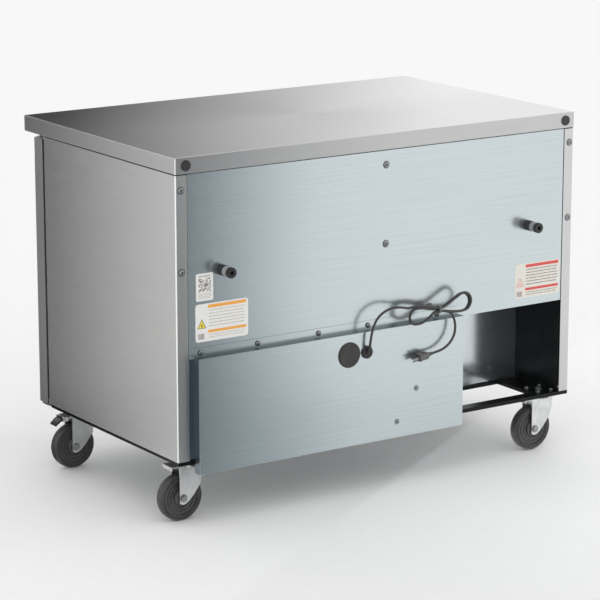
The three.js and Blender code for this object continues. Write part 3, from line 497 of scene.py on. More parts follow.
def bent_strip(bm, outer, thickness, radius, place, low, high, steps=5):
    """A folded sheet: an open line of outer-face points with rounded corners, given thickness on its
    right-hand side, and drawn out between two distances. place(a, b, h) gives the row-frame point."""
    line = []
    for i, point in enumerate(outer):
        p = Vector(point)
        if i in (0, len(outer) - 1):
            line.append((p, None))
            continue
        into = (p - Vector(outer[i - 1])).normalized()
        out = (Vector(outer[i + 1]) - p).normalized()
        turn = into.x * out.y - into.y * out.x
        angle = math.acos(max(-1.0, min(1.0, into.dot(out))))
        r = radius if turn < 0 else max(radius - thickness, 0.0002)
        back = r * math.tan(angle / 2)
        normal = Vector((into.y, -into.x)) if turn < 0 else Vector((-into.y, into.x))
        centre = p - into * back + normal * r
        start = (p - into * back) - centre
        for k in range(steps + 1):
            a = angle * k / steps * (-1 if turn < 0 else 1)
            spoke = start.copy()
            spoke.rotate(Matrix.Rotation(a, 2))
            unit = spoke.normalized()
            line.append((centre + spoke, -unit if turn < 0 else unit))
    pairs = []
    for i, (p, inward) in enumerate(line):
        if inward is None:
            q = line[i + 1][0] if i == 0 else p
            o = p if i == 0 else line[i - 1][0]
            direction = (q - o).normalized()
            inward = Vector((direction.y, -direction.x))
        pairs.append((p, p + inward * thickness))
    rings = []
    for h in (low, high):
        rings.append(([bm.verts.new(place(p.x, p.y, h)) for p, _ in pairs],
                      [bm.verts.new(place(q.x, q.y, h)) for _, q in pairs]))
    (o0, i0), (o1, i1) = rings
    for k in range(len(pairs) - 1):
        for quad in ((o0[k], o0[k + 1], o1[k + 1], o1[k]), (i0[k], i1[k], i1[k + 1], i0[k + 1]),
                     (o0[k], i0[k], i0[k + 1], o0[k + 1]), (o1[k], o1[k + 1], i1[k + 1], i1[k])):
            bm.faces.new(quad)
    for a in (0, len(pairs) - 1):
        bm.faces.new((o0[a], o1[a], i1[a], i0[a]))


# ---------------------------------------------------------------- mains cord

CORD_Y = REAR_Y + 0.038
CORD_DIAMETER = 0.0064

# The same points as the solids' lead and tail have.
LEAD = [
    (0.0525, 0.3891, 0.3825), (0.0523, 0.3901, 0.389), (0.051, 0.3911, 0.401), (0.049, 0.3919, 0.415),
    (0.0455, 0.3925, 0.43), (0.04, 0.3925, 0.443), (0.0325, 0.3925, 0.4545), (0.022, 0.3925, 0.464),
    (0.0085, 0.3925, 0.4715), (-0.006, 0.3925, 0.476), (-0.021, 0.3925, 0.4776), (-0.036, 0.3925, 0.4765),
    (-0.05, 0.3925, 0.4738), (-0.063, 0.3925, 0.4708),
]
TAIL = [
    (-0.203, 0.3925, 0.4365), (-0.2075, 0.3935, 0.428), (-0.2105, 0.3955, 0.416), (-0.211, 0.397, 0.402),
    (-0.2085, 0.398, 0.388), (-0.2025, 0.3985, 0.375), (-0.193, 0.3985, 0.3635), (-0.1805, 0.398, 0.354),
    (-0.166, 0.397, 0.3478), (-0.152, 0.3965, 0.3447), (-0.1385, 0.396, 0.3428),
]
TIE = (-0.161, 0.4548)

# One round of each loop of the hank, as (x, z) from the tie and back to it.
FAR_LOOP = [
    (-0.178, 0.4615), (-0.196, 0.4706), (-0.213, 0.4793), (-0.2286, 0.4872), (-0.24, 0.4894),
    (-0.2503, 0.4864), (-0.2589, 0.4778), (-0.262, 0.466), (-0.2589, 0.4543), (-0.2503, 0.4456),
    (-0.2385, 0.4425), (-0.224, 0.4424), (-0.208, 0.444), (-0.19, 0.4468), (-0.1765, 0.4498),
]
NEAR_LOOP = [
    (-0.145, 0.4495), (-0.131, 0.4395), (-0.118, 0.4315), (-0.105, 0.427), (-0.0911, 0.4256),
    (-0.0773, 0.4282), (-0.0682, 0.439), (-0.0682, 0.453), (-0.0773, 0.4638), (-0.0893, 0.4664),
    (-0.105, 0.465), (-0.124, 0.4615), (-0.143, 0.458),
]
# Where each of the five passes goes through the tie, as (y, z) from its middle.
PASSES = [(0.0036, 0.0034), (0.0036, -0.0034), (0.0, 0.0064), (-0.0036, -0.0056), (-0.003, 0.0006)]


def hank_points():
    points = []

    def through(index):
        dy, dz = PASSES[index]
        points.append((TIE[0], CORD_Y + dy, TIE[1] + dz))

    for turn in (0, 1):
        far_y = (0.003, -0.0034)[turn]
        near_y = (0.0032, -0.0032)[turn]
        grow = (0.0, -0.0026)[turn]
        through(2 * turn)
        for x, z in FAR_LOOP:
            points.append((x - grow * 0.6, CORD_Y + far_y, z + grow * 0.8))
        through(2 * turn + 1)
        for x, z in NEAR_LOOP:
            points.append((x - 0.0044 * turn, CORD_Y + near_y, z - 0.0018 * turn))
    through(4)
    return points


CROSSING = [(-0.08, 0.3928, 0.4712), (-0.1, 0.3936, 0.4702), (-0.122, 0.3948, 0.467), (-0.143, 0.396, 0.462)]
LEAVING = [(-0.1755, 0.39, 0.4483), (-0.191, 0.3918, 0.445)]


def make_cord():
    route = LEAD + CROSSING + hank_points() + LEAVING + TAIL
    path = smooth_path(route, 0.0035)
    curve = bpy.data.curves.new("mains_cord", "CURVE")
    curve.dimensions = "3D"
    curve.bevel_depth = CORD_DIAMETER / 2
    curve.bevel_resolution = 4
    curve.use_fill_caps = True
    spline = curve.splines.new("POLY")
    spline.points.add(len(path) - 1)
    for slot, point in zip(spline.points, path):
        slot.co = (*point, 1.0)
    curve.materials.append(M["cord"])
    cord = bpy.data.objects.new("mains_cord", curve)
    bpy.context.scene.collection.objects.link(cord)
    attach(cord, "cabinet")
    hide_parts("cord_lead", "cord_hank", "cord_tail")
    return cord, sum((b - a).length for a, b in zip(path, path[1:]))


cord, cord_length = make_cord()


def make_gland():
    """The round gland in the cover, and the ribbed strain relief that turns the cord up."""
    bm = bmesh.new()
    centre = at(546, -COVER_OUT, 549)
    add_lathe(bm, mm((0, 0.3), (16, 0.3), (16.5, 1), (16.5, 2.6), (15.6, 4), (12.8, 5.4), (11.2, 5.4),
                     (10.4, 4), (0, 4)), centre, BACK, 48)
    for i in range(24):
        a = 2 * math.pi * i / 24
        spoke = Vector((math.cos(a) * 0.0146, 0.0049, math.sin(a) * 0.0146))
        add_box(bm, (-0.0006, -0.0007, -0.0014), (0.0006, 0.0007, 0.0014), 0,
                Matrix.Translation(centre + spoke) @ Matrix.Rotation(math.pi / 2 - a, 4, "Y"))
    first = math.radians(40)  # the bend goes on to twice this angle
    start = centre + Vector((0, 0.003, -0.0017))
    bend = []
    for i in range(15):
        a = first * (1 + i / 14)
        bend.append(Vector((centre.x, REAR_Y + 0.027 + 0.022 * (math.sin(a) - math.sin(first)),
                            centre.z + 0.022 * (math.cos(first) - math.cos(a)))))
    points = [start, *bend, *(Vector(LEAD[0]).lerp(Vector(LEAD[1]), t) for t in (0.2, 0.55, 0.9))]
    normal = Vector((1, 0, 0))
    rings = []
    last = len(points) - 1
    for i, point in enumerate(points):
        tangent = (points[min(i + 1, last)] - points[max(i - 1, 0)]).normalized()
        side = tangent.cross(normal).normalized()
        taper = 0.0056 + (0.0042 - 0.0056) * i / last
        rings.append(add_ring(bm, point, normal, side, taper if i % 2 else taper - 0.0007, 20))
    join_rings(bm, rings)
    return skin("cord_gland", bm, M["plastic"])


def make_plug():
    """A moulded three-pin plug with a finger grip, on the end of the tail."""
    end = Vector(TAIL[-1])
    forward = (end - Vector(TAIL[-2])).normalized()
    up = Vector((0, 0, 1))
    side = up.cross(forward).normalized()
    up = forward.cross(side).normalized()
    turn = Matrix((side, up, forward)).transposed().to_4x4()
    turn = Matrix.Translation(end) @ turn
    bm = bmesh.new()
    # distance from the cord's end, and half the width and height there
    stations = mm(
        (0.2, 4.3, 4.3), (3, 4.6, 4.6), (5, 4, 4), (7, 5, 5), (9, 4.4, 4.4), (11, 5.8, 5.6), (15, 9.5, 8),
        (20, 12.2, 9.8), (26, 11.2, 9), (31, 10.6, 8.8), (37, 12.4, 10.2), (41.5, 12.8, 10.6),
        (43.6, 12, 9.8))
    rings = []
    for h, a, b in stations:
        ring = []
        for k in range(28):
            angle = 2 * math.pi * k / 28
            c, s = math.cos(angle), math.sin(angle)
            ring.append(bm.verts.new(turn @ Vector((
                math.copysign(abs(c) ** 0.62, c) * a, math.copysign(abs(s) ** 0.62, s) * b, h))))
        rings.append(ring)
    join_rings(bm, rings)
    for k in range(4):
        h = 0.0215 + 0.0028 * k
        for sign in (-1, 1):
            add_box(bm, (-0.006, sign * 0.0092 - 0.0005, h), (0.006, sign * 0.0092 + 0.0005, h + 0.0013), 0,
                    turn)
    for sign in (-1, 1):
        add_box(bm, (sign * 0.0064 - 0.0008, -0.0031, 0.043), (sign * 0.0064 + 0.0008, 0.0031, 0.0592), 1,
                turn)
    pin = Matrix.Translation(turn @ Vector((0, -0.0065, 0.043)))
    add_lathe(bm, mm((0, 0), (2.4, 0), (2.4, 15.5), (1.6, 17.2), (0, 17.6)), pin.translation, forward, 16, 1)
    return skin("cord_plug", bm, [M["plug"], M["brass"]], sharp=40)


def make_tie():
    """A releasable tie: a ribbed band round the hank's waist, its head, a stalk and a push-in foot."""
    bm = bmesh.new()
    x, z = TIE
    for offset in (-0.0019, 0.0019):
        count = 36
        inner, outer = [], []
        for i in range(count):
            a = 2 * math.pi * i / count
            c, s = math.cos(a), math.sin(a)
            ring_y = math.copysign(abs(c) ** 0.7, c)
            ring_z = math.copysign(abs(s) ** 0.7, s)
            inner.append((CORD_Y + ring_y * 0.0076, z + ring_z * 0.0088))
            outer.append((CORD_Y + ring_y * 0.0087, z + ring_z * 0.0099))
        loops = []
        for dx in (-0.0015, 0.0015):
            loops.append(([bm.verts.new((x + offset + dx, *p)) for p in outer],
                          [bm.verts.new((x + offset + dx, *p)) for p in inner]))
        (oa, ia), (ob, ib) = loops
        for i in range(count):
            j = (i + 1) % count
            for quad in ((oa[i], oa[j], ob[j], ob[i]), (ia[j], ia[i], ib[i], ib[j]),
                         (oa[j], oa[i], ia[i], ia[j]), (ob[i], ob[j], ib[j], ib[i])):
                bm.faces.new(quad)
    add_box(bm, (x - 0.0032, CORD_Y + 0.007, z - 0.0034), (x + 0.0032, CORD_Y + 0.0102, z + 0.0034))
    panel_y = REAR_Y - 0.0007
    add_lathe(bm, mm((3, 0), (2.4, 4), (2.4, 25), (3.2, 30.2)), Vector((x, panel_y, z)), BACK, 16)
    add_lathe(bm, mm((0, 0), (9, 0), (8.8, 1.6), (7, 3), (3, 4.2), (0, 4.2)),
              Vector((x, panel_y, z)), BACK, 32)
    return skin("cord_tie", bm, M["nylon"])


gland = make_gland()
plug = make_plug()
tie = make_tie()


# ---------------------------------------------------------------- screws and bolts


def screw_bm(bm, centre, radius):
    """A washer-head screw on a thin dark disc of painted shade round its head, with dark bars of painted
    shade on the head for its cross recess.
    """
    radius *= 1.18
    # a thin dark disc under the head: painted shade where a dimple would be
    add_lathe(bm, [(0.0, 0.0001), (radius * 1.34, 0.0001), (radius * 1.3, 0.0004), (0.0, 0.0004)], centre,
              BACK, 24, 1)
    add_lathe(bm, [
        (0.0, 0.0), (radius * 1.12, 0.0), (radius * 1.12, radius * 0.1), (radius * 0.94, radius * 0.16),
        (radius * 0.86, radius * 0.36), (radius * 0.6, radius * 0.52), (0.0, radius * 0.58),
    ], centre, BACK, 24)
    turn = Matrix.Translation(centre) @ basis_for(BACK)
    # the cross recess as dark bars on the head: painted shade
    for angle in (0.35, 0.35 + math.pi / 2):
        add_box(bm, (-radius * 0.5, -radius * 0.09, radius * 0.5),
                (radius * 0.5, radius * 0.09, radius * 0.595), 1, turn @ Matrix.Rotation(angle, 4, "Z"))


def hex_bm(bm, centre, axis, radius, height, index=0, phase=0.0):
    """A hexagon head with a chamfered top and a washer face."""
    add_lathe(bm, [(0.0, 0.0), (radius * 1.18, 0.0), (radius * 1.18, height * 0.14), (0.0, height * 0.14)],
              centre, axis, 24, index)
    add_lathe(bm, [(0.0, height * 0.14), (radius, height * 0.14), (radius, height * 0.86),
                   (radius * 0.86, height), (0.0, height)], centre, axis, 6, index, phase)


def make_rear_screws():
    strips = [(at(u, 0, h), 0.006) for u in (15.5, 1209.5) for h in (80, 281)]
    panel = [(at(619, 1, h), 0.0062) for h in (79, 281.5)]
    cover = [(at(u, -1.8, 486), 0.0044) for u in (66, 232, 413, 564, 782)]
    cover += [(at(u, -COVER_OUT, h), 0.0046) for u, h in ((702.6, 666.6), (642.2, 746.8))]
    for place, spots in (("strip", strips), ("panel", panel), ("cover", cover)):
        bm = bmesh.new()
        for centre, radius in spots:
            screw_bm(bm, centre, radius)
        publish(place + "_screws", bm, [M["screw"], M["dark"]], "cabinet")


make_rear_screws()


# ---------------------------------------------------------------- stickers


def rounded_outline(width, height, radius, steps=5):
    points = []
    for cx, cy, start in ((width - radius, height - radius, 0), (radius, height - radius, 90),
                          (radius, radius, 180), (width - radius, radius, 270)):
        for i in range(steps + 1):
            a = math.radians(start + 90 * i / steps)
            points.append((cx + radius * math.cos(a), cy + radius * math.sin(a)))
    return points


def sticker(name, u0, u1, h0, h1, paper, marks):
    """A sticker on the rear panel. Its own axes run from its upper corner, leftward on the face and down.
    A mark is its layer, its finish and its outline, and a bar's outline is two opposite corners."""
    width, height = (u1 - u0) / 1000, (h1 - h0) / 1000
    # the third axis stands off the panel
    turn = Matrix.Translation(at(u0, 1, h0)) @ Matrix(((-1, 0, 0), (0, 0, 1), (0, -1, 0))).to_4x4()
    bm = bmesh.new()
    add_prism(bm, rounded_outline(width, height, min(width, height) * 0.08), 0.0001, 0.00035, turn, 0)
    materials = [paper]
    for layer, material, outline in marks:
        if material not in materials:
            materials.append(material)
        if len(outline) == 4:
            a0, b0, a1, b1 = outline
            outline = [(a0, b0), (a1, b0), (a1, b1), (a0, b1)]
        add_prism(bm, outline, 0.0003, 0.0004 + 0.00005 * layer, turn, materials.index(material))
    publish(name, bm, materials, "cabinet", smooth=False)


def greek(a0, a1, b0, b1, rows, material, gap=0.45):
    """Rows of plain short bars, in place of print."""
    bars = []
    pitch = (b1 - b0) / rows
    for row in range(rows):
        top = b0 + row * pitch
        a = a0
        k = 0
        while a < a1 - 0.003:
            length = 0.004 + 0.0035 * ((row * 7 + k * 5) % 4)
            end = min(a + length, a1)
            bars.append((0, material, (a, top, end, top + pitch * gap)))
            a = end + 0.0016
            k += 1
    return bars


def code_cells(a0, b0, size, count, material):
    """A square of scattered cells, which stands for a printed code and reads as nothing."""
    cells = []
    step = size / count
    for row in range(count):
        for column in range(count):
            spread = math.sin(row * 12.9898 + column * 78.233 + 4.1) * 43758.5453
            if spread - math.floor(spread) < 0.5:
                a, b = a0 + column * step, b0 + row * step
                cells.append((0, material, (a, b, a + 0.96 * step, b + 0.96 * step)))
    return cells


def make_stickers():
    ink = M["ink_grey"]
    small = [(0, ink, (0.007, 0.006, 0.04, 0.0085))]
    small += code_cells(0.0075, 0.0125, 0.034, 12, M["ink_brown"])
    small += greek(0.006, 0.044, 0.05, 0.065, 4, M["ink_pale"])
    sticker("sticker_small", 55.7, 104.8, 290, 358.5, M["paper_white"], small)

    for name, spot, paper, accent, sign, words in (
        ("sticker_wide", (53.4, 205, 366, 460.5), "paper_white", "ink_orange", "ink_yellow", "ink_pale"),
        ("sticker_far", (1035.8, 1186.7, 389, 482), "paper_cream", "ink_red", "paper_cream", "ink_brown"),
    ):
        rim = M["ink_black"] if sign == "ink_yellow" else M["ink_red"]
        marks = [(0, M[accent], (0.036, 0.0035, 0.146, 0.0115)),
                 (0, M[accent], (0.036, 0.0665, 0.146, 0.0735)),
                 (0, rim, [(0.0055, 0.061), (0.0305, 0.061), (0.018, 0.037)]),
                 (1, M[sign], [(0.0078, 0.0597), (0.0282, 0.0597), (0.018, 0.0402)]),
                 (2, rim, [(0.0158, 0.0575), (0.0202, 0.0575), (0.018, 0.0475)])]
        marks += [(0, M["ink_brown"], (0.008 + 0.0036 * k, 0.074, 0.0102 + 0.0036 * k, 0.088))
                  for k in range(5)]
        marks += greek(0.038, 0.143, 0.0165, 0.0635, 6, M[words], 0.3)
        marks += greek(0.038, 0.143, 0.078, 0.09, 2, M[words], 0.3)
        sticker(name, *spot, M[paper], marks)


make_stickers()


# ---------------------------------------------------------------- cabinet skins


def worktop_edge(e):
    """Whether an edge lies on two sides of the worktop's box."""
    sides = [(axis, corner[axis]) for axis in range(3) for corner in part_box("worktop")]
    return sum(all(abs(v.co[axis] - value) < 2e-4 for v in e.verts) for axis, value in sides) >= 2


def worktop_finish(face):
    if abs(face.normal.z) > 0.7:
        return 0
    # upright faces take the darker edge finish, painted shade; the rounded vertical corners take the
    # near-white finish, a painted highlight
    return 2 if 0.1 < abs(face.normal.x) < 0.995 and abs(face.normal.z) < 0.3 else 1


refine("worktop", [M["top"], M["edge"], M["fold"]], bevel=0.0, rules=[(worktop_edge, 0.0022, 4)],
       faces=worktop_finish)


FOLD_RADIUS = 0.0034


def make_side_panels():
    for side, outer_x, inward in (("right", RIGHT_X, -1), ("left", LEFT_X, 1)):
        bm = bmesh.new()
        line = [(0.014, FRONT_Y), (0.0, FRONT_Y), (0.0, REAR_Y), (0.032, REAR_Y)]
        bent_strip(bm, line, 0.0015, FOLD_RADIUS,
                   lambda a, b, h, x=outer_x, s=inward: Vector((x + s * a, b, h)), 0.1625, 0.8746)
        for face in bm.faces:
            centre = face.calc_center_median()
            if abs(centre.y - REAR_Y) < FOLD_RADIUS:
                # the rear fold's rounded faces take the near-white finish: a painted highlight along the
                # corner
                face.material_index = 1 if abs(centre.x - outer_x) > FOLD_RADIUS else 2
        skin(f"side_panel_{side}", bm, [M["side"], M["strip"], M["fold"]])


make_side_panels()
refine("rear_panel", M["panel"], 0.0004)
refine("bay_liner", M["bay"], 0.0005)
refine("bay_side_left", M["black"], 0.0005)
# the foam's outer faces on three sides take the dark finish: painted shade for the gaps through which they
# show
refine("insulated_body", [M["foam"], M["dark"]], 0.001,
       faces=lambda face: int(abs(face.normal.x) > 0.9 or face.normal.z > 0.9 or face.normal.y > 0.9))
refine("inner_liner", M["aluminium"], 0.0006)
refine("face_frame", M["frame"], 0.0008)
refine("floor_skin", M["tray"], 0.0005)


def cover_fold(e):
    low, high = COVER_PAN
    mid = (e.verts[0].co + e.verts[1].co) / 2
    outer = abs(mid.y - (REAR_Y + 0.022)) < 2e-4
    return outer and (abs(mid.x - low) < 2e-4 or abs(mid.x - high) < 2e-4 or abs(mid.z - 0.422) < 2e-4
                      or abs(mid.z - 0.129) < 2e-4)


COVER_PAN = (RIGHT_X - 0.0485 - 0.8045, RIGHT_X - 0.0485)


def close_flange(co):
    """Thins the cover's top flange, which the solid has thicker, and lays it on the panel."""
    if abs(co.y - 0.3548) < 2e-4:
        co.y = 0.3536
    elif abs(co.y - 0.3563) < 2e-4:
        co.y = 0.3548


def cover_finish(face):
    centre = face.calc_center_median()
    # the upright side wall takes the mid-dark copy, and the top face and side flange the darkest copy:
    # painted shade on the cover's sheet
    if abs(face.normal.x) > 0.7:
        return 2
    return int(face.normal.z > 0.7 or centre.x > COVER_PAN[1] + 0.0005)


refine("rear_cover", [M["cover"], M["cover_fold"], M["cover_wall"]], bevel=0.0004,
       rules=[(cover_fold, 0.0013, 3)], settle=close_flange, faces=cover_finish)


def make_disc():
    bm = bmesh.new()
    add_lathe(bm, mm((0, 0.3), (32.7, 0.3), (33, 1), (32.8, 1.9), (31.6, 3), (29.6, 3.5), (28.2, 3.1),
                     (27.6, 2.7), (0, 2.9)), at(492, -COVER_OUT, 549), BACK, 72)
    skin("blank_disc", bm, M["plastic"])


def make_worktop_plugs():
    for side, u in (("right", 30), ("left", 1195)):
        bm = bmesh.new()
        add_lathe(bm, mm((0, 0.3), (13.3, 0.3), (13.5, 0.9), (13.1, 1.8), (11.5, 2.6), (8, 2.9), (0, 3)),
                  at(u, 0, 21), BACK, 40)
        add_lathe(bm, mm((10, 2.4), (10.6, 3.1), (9.6, 3.1), (9, 2.7)), at(u, 0, 21), BACK, 40)
        skin(f"worktop_plug_{side}", bm, M["plastic"])


def make_bumpers():
    for side, u in (("right", 129), ("left", 1076)):
        bm = bmesh.new()
        centre = at(u, 0, 287)
        add_lathe(bm, mm((0, -0.7), (12.8, -0.7), (13.5, 0.4), (13.5, 20), (13, 21)), centre, BACK, 48, 0)
        add_lathe(bm, mm((13, 21), (12.4, 21.6), (12.6, 28), (12.8, 37), (13.1, 37.6)), centre, BACK, 48, 1)
        add_lathe(bm, mm((13.1, 37.6), (13.5, 38.4), (13.5, 46.2), (12.8, 47.4), (11.2, 48), (6, 48),
                         (5.2, 47.4), (5.2, 34), (0, 34)), centre, BACK, 48, 0)
        bmesh.ops.remove_doubles(bm, verts=bm.verts, dist=1e-6)
        skin(f"wall_bumper_{side}", bm, [M["bumper"], M["sleeve"]], sharp=35)


make_disc()
make_worktop_plugs()
make_bumpers()

for name in ("base_rail_rear", "base_rail_right", "base_rail_left", "base_rail_middle"):
    refine(name, M["black"], 0.0012, 3)


# ---------------------------------------------------------------- casters

CASTERS = {
    "rear_right": (RIGHT_X - 0.06, REAR_Y - 0.05, False),
    "rear_left": (LEFT_X + 0.06, REAR_Y - 0.05, False),
    "front_right": (RIGHT_X - 0.06, FRONT_Y + 0.064, True),
    "front_left": (LEFT_X + 0.06, FRONT_Y + 0.064, True),
}
TRAIL = 0.028
WHEEL_R = 0.06


def make_wheel(name, x, y):
    """A rubber tyre with shoulder rings on a nylon centre with stepped rings and a domed cap."""
    bm = bmesh.new()
    centre = Vector((x + TRAIL, y, WHEEL_R))
    half = 0.0155
    # (radius, inset from the side face), from the tread to the bore
    tyre = mm((60, 11), (59.5, 7.4), (57.8, 4), (55.2, 1.8), (53.2, 1.2), (52.6, 2.6), (51.8, 2.6),
              (51.2, 1), (48.8, 0.8), (46.2, 1.4), (45.2, 3.4))
    core = mm((45.2, 3.4), (44, 3.6), (43.4, 5.8), (39.2, 6.2), (38.6, 4.4), (36, 4.2), (35.2, 6.6),
              (30, 7), (29.2, 4.8), (26.2, 4.4), (25, 7.2), (21.2, 7), (20.4, 2), (18.6, 0.6), (14, 0.1),
              (5.8, 0.1), (5.6, 1.8))
    for rings, slot in ((tyre, 0), (core, 1)):
        for side in (-1, 1):
            add_lathe(bm, [(r, side * (half - inset)) for r, inset in rings], centre, BACK, 96, slot)
    add_lathe(bm, [(0.06, -half + 0.011), (0.06, half - 0.011)], centre, BACK, 96, 0)
    add_lathe(bm, [(0.0056, -half + 0.0018), (0.0056, half - 0.0018)], centre, BACK, 96, 1)
    bmesh.ops.remove_doubles(bm, verts=bm.verts, dist=1e-6)
    skin(f"caster_wheel_{name}", bm, [M["tyre"], M["hub"]], sharp=35)


def make_fork(name, x, y):
    """The pressed fork: its solid with rounded edges, the axle bolt heads and four rivets in the crown."""
    node = f"caster_fork_{name}"
    refine(node, M["zinc"], 0.0009, 3)
    bm = bmesh.new()
    for side in (-1, 1):
        centre = Vector((x + TRAIL, y + side * 0.0218, WHEEL_R))
        hex_bm(bm, centre, (0, side, 0), 0.0088, 0.0056, 0, 0.3)
    for i in range(4):
        a = math.pi / 4 + i * math.pi / 2
        add_lathe(bm, mm((0, 0), (2.6, 0), (2.2, 0.6), (0, 0.7)),
                  Vector((x + 0.0265 * math.cos(a), y + 0.0165 * math.sin(a), 0.144)), UP, 12, 0)
    publish(f"caster_bolts_{name}", bm, M["screw"], f"swivel_{name}")


def make_caster_plate(name, x, y):
    """The bolt plate with rounded corners, the race cup, and the bolts up through the rail."""
    bm = bmesh.new()
    outline = [(a - 0.032, b - 0.032) for a, b in rounded_outline(0.064, 0.064, 0.007)]
    add_prism(bm, outline, 0.1482, 0.1517, Matrix.Translation((x, y, 0)))
    add_lathe(bm, mm((0, 144.6), (24, 144.6), (25.8, 145.6), (26, 147), (24.6, 148.4), (0, 148.4)),
              Vector((x, y, 0)), UP, 40)
    skin(f"caster_plate_{name}", bm, M["zinc"])
    bm = bmesh.new()
    head = 0.1623
    for dx in (-0.0225, 0.0225):
        for dy in (-0.024, 0.024):
            if head + 0.0052 < 0.17 and REAR_Y - 0.17 < y + dy:
                hex_bm(bm, Vector((x + dx, y + dy, head)), UP, 0.0058, 0.0044, 0, 0.4)
            hex_bm(bm, Vector((x + dx, y + dy, 0.1481)), (0, 0, -1), 0.0052, 0.0032, 0, 0.1)
    if y > 0:
        hex_bm(bm, Vector((x, y, head)), UP, 0.0085, 0.006, 0, 0.2)
    publish(f"caster_fixings_{name}", bm, M["screw"], "cabinet")


for name, (x, y, braked) in CASTERS.items():
    make_wheel(name, x, y)
    make_fork(name, x, y)
    make_caster_plate(name, x, y)
    if braked:
        refine(f"brake_pedal_{name}", M["pedal"], 0.001, 3)


# ---------------------------------------------------------------- doors

for side in ("right", "left"):
    # each door's upright side faces take the darker copy of its steel, and its back faces the dark finish:
    # both painted shade at the door's edges and in the gap behind them
    refine(f"door_{side}", [M["door"], M["door_edge"], M["dark"]], 0.0007, 3,
           faces=lambda face: 2 if face.normal.y > 0.7 else int(abs(face.normal.x) > 0.7))
    refine(f"door_inner_{side}", M["aluminium"], 0.001)
    refine(f"door_gasket_{side}", M["gasket"], 0.0018, 3)
    for level in ("top", "bottom"):
        refine(f"hinge_{level}_{side}", M["zinc"], 0.0006, 2)


def make_door_details():
    """The bellows ridges of each gasket, and the hinge pins in their brackets."""
    for side, x0, x1, outer, inward in (
        ("right", -0.011, 0.597, RIGHT_X, -1), ("left", -0.625, -0.017, LEFT_X, 1),
    ):
        bm = bmesh.new()
        z0, z1 = DOOR_BOTTOM + 0.022, DOOR_TOP - 0.014
        for inset, radius in ((0.0035, 0.0013), (0.008, 0.0016), (0.0125, 0.0013)):
            a0, a1 = x0 + 0.011 + inset, x1 - 0.011 - inset
            b0, b1 = z0 + inset, z1 - inset
            y = FRONT_Y - 0.0018
            for p, q in (((a0, y, b0), (a1, y, b0)), ((a1, y, b0), (a1, y, b1)), ((a1, y, b1), (a0, y, b1)),
                         ((a0, y, b1), (a0, y, b0))):
                add_tube(bm, [p, q], radius, 8)
        # a thin dark sheet of gasket rubber from the gasket out to the edge of the door: painted shade in
        # the gap round the door
        y0, y1 = FRONT_Y - 0.0098, FRONT_Y - 0.0092
        a0, a1, b0, b1 = x0 + 0.0008, x1 - 0.0008, DOOR_BOTTOM + 0.001, DOOR_TOP - 0.0008
        for low, high in (((a0, y0, b0), (x0 + 0.0112, y1, b1)), ((x1 - 0.0112, y0, b0), (a1, y1, b1)),
                          ((x0 + 0.0112, y0, b0), (x1 - 0.0112, y1, z0 + 0.0002)),
                          ((x0 + 0.0112, y0, z1 - 0.0002), (x1 - 0.0112, y1, b1))):
            add_box(bm, low, high)
        publish(f"gasket_ridges_{side}", bm, M["gasket"], f"door_{side}_leaf")
        bm = bmesh.new()
        pivot_x = outer + inward * 0.0115
        pivot_y = FRONT_Y - 0.01 - 0.02125
        for pin_z, head_z, up in ((0.8676, 0.8716, 1), (0.1576, 0.1548, -1)):
            add_lathe(bm, mm((0, 0), (3.8, 0), (3.8, 1.2)), Vector((pivot_x, pivot_y, pin_z)), UP, 20)
            add_lathe(bm, mm((5.8, 0), (6.2, 0.8), (5, 2.4), (0, 2.8)),
                      Vector((pivot_x, pivot_y, head_z)), (0, 0, up), 24)
        publish(f"hinge_pins_{side}", bm, M["screw"], "cabinet")


make_door_details()


# ---------------------------------------------------------------- inside the cabinet


def make_shelf(side):
    """A wire shelf: a round-bar rim, two cross bars and thin rods front to back."""
    low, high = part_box(f"shelf_{side}")
    bm = bmesh.new()
    r = 0.0028
    z = high.z - r
    x0, x1, y0, y1 = low.x + r, high.x - r, low.y + r, high.y - r
    corner = 0.012
    rim = []
    for cx, cy, start in ((x1 - corner, y1 - corner, 0), (x0 + corner, y1 - corner, 90),
                          (x0 + corner, y0 + corner, 180), (x1 - corner, y0 + corner, 270)):
        for i in range(6):
            a = math.radians(start + 18 * i)
            rim.append(Vector((cx + corner * math.cos(a), cy + corner * math.sin(a), z)))
    rim.append(rim[0].copy())
    add_tube(bm, rim, r, 12, ends=False)
    for y in (y0 + (y1 - y0) * 0.33, y0 + (y1 - y0) * 0.67):
        add_tube(bm, [(x0, y, low.z + 0.0026), (x1, y, low.z + 0.0026)], 0.0026, 10)
    count = 24
    for i in range(1, count):
        x = x0 + (x1 - x0) * i / count
        add_tube(bm, [(x, y0, high.z - 0.0013), (x, y1, high.z - 0.0013)], 0.0013, 8)
    skin(f"shelf_{side}", bm, M["wire"])


make_shelf("right")
make_shelf("left")


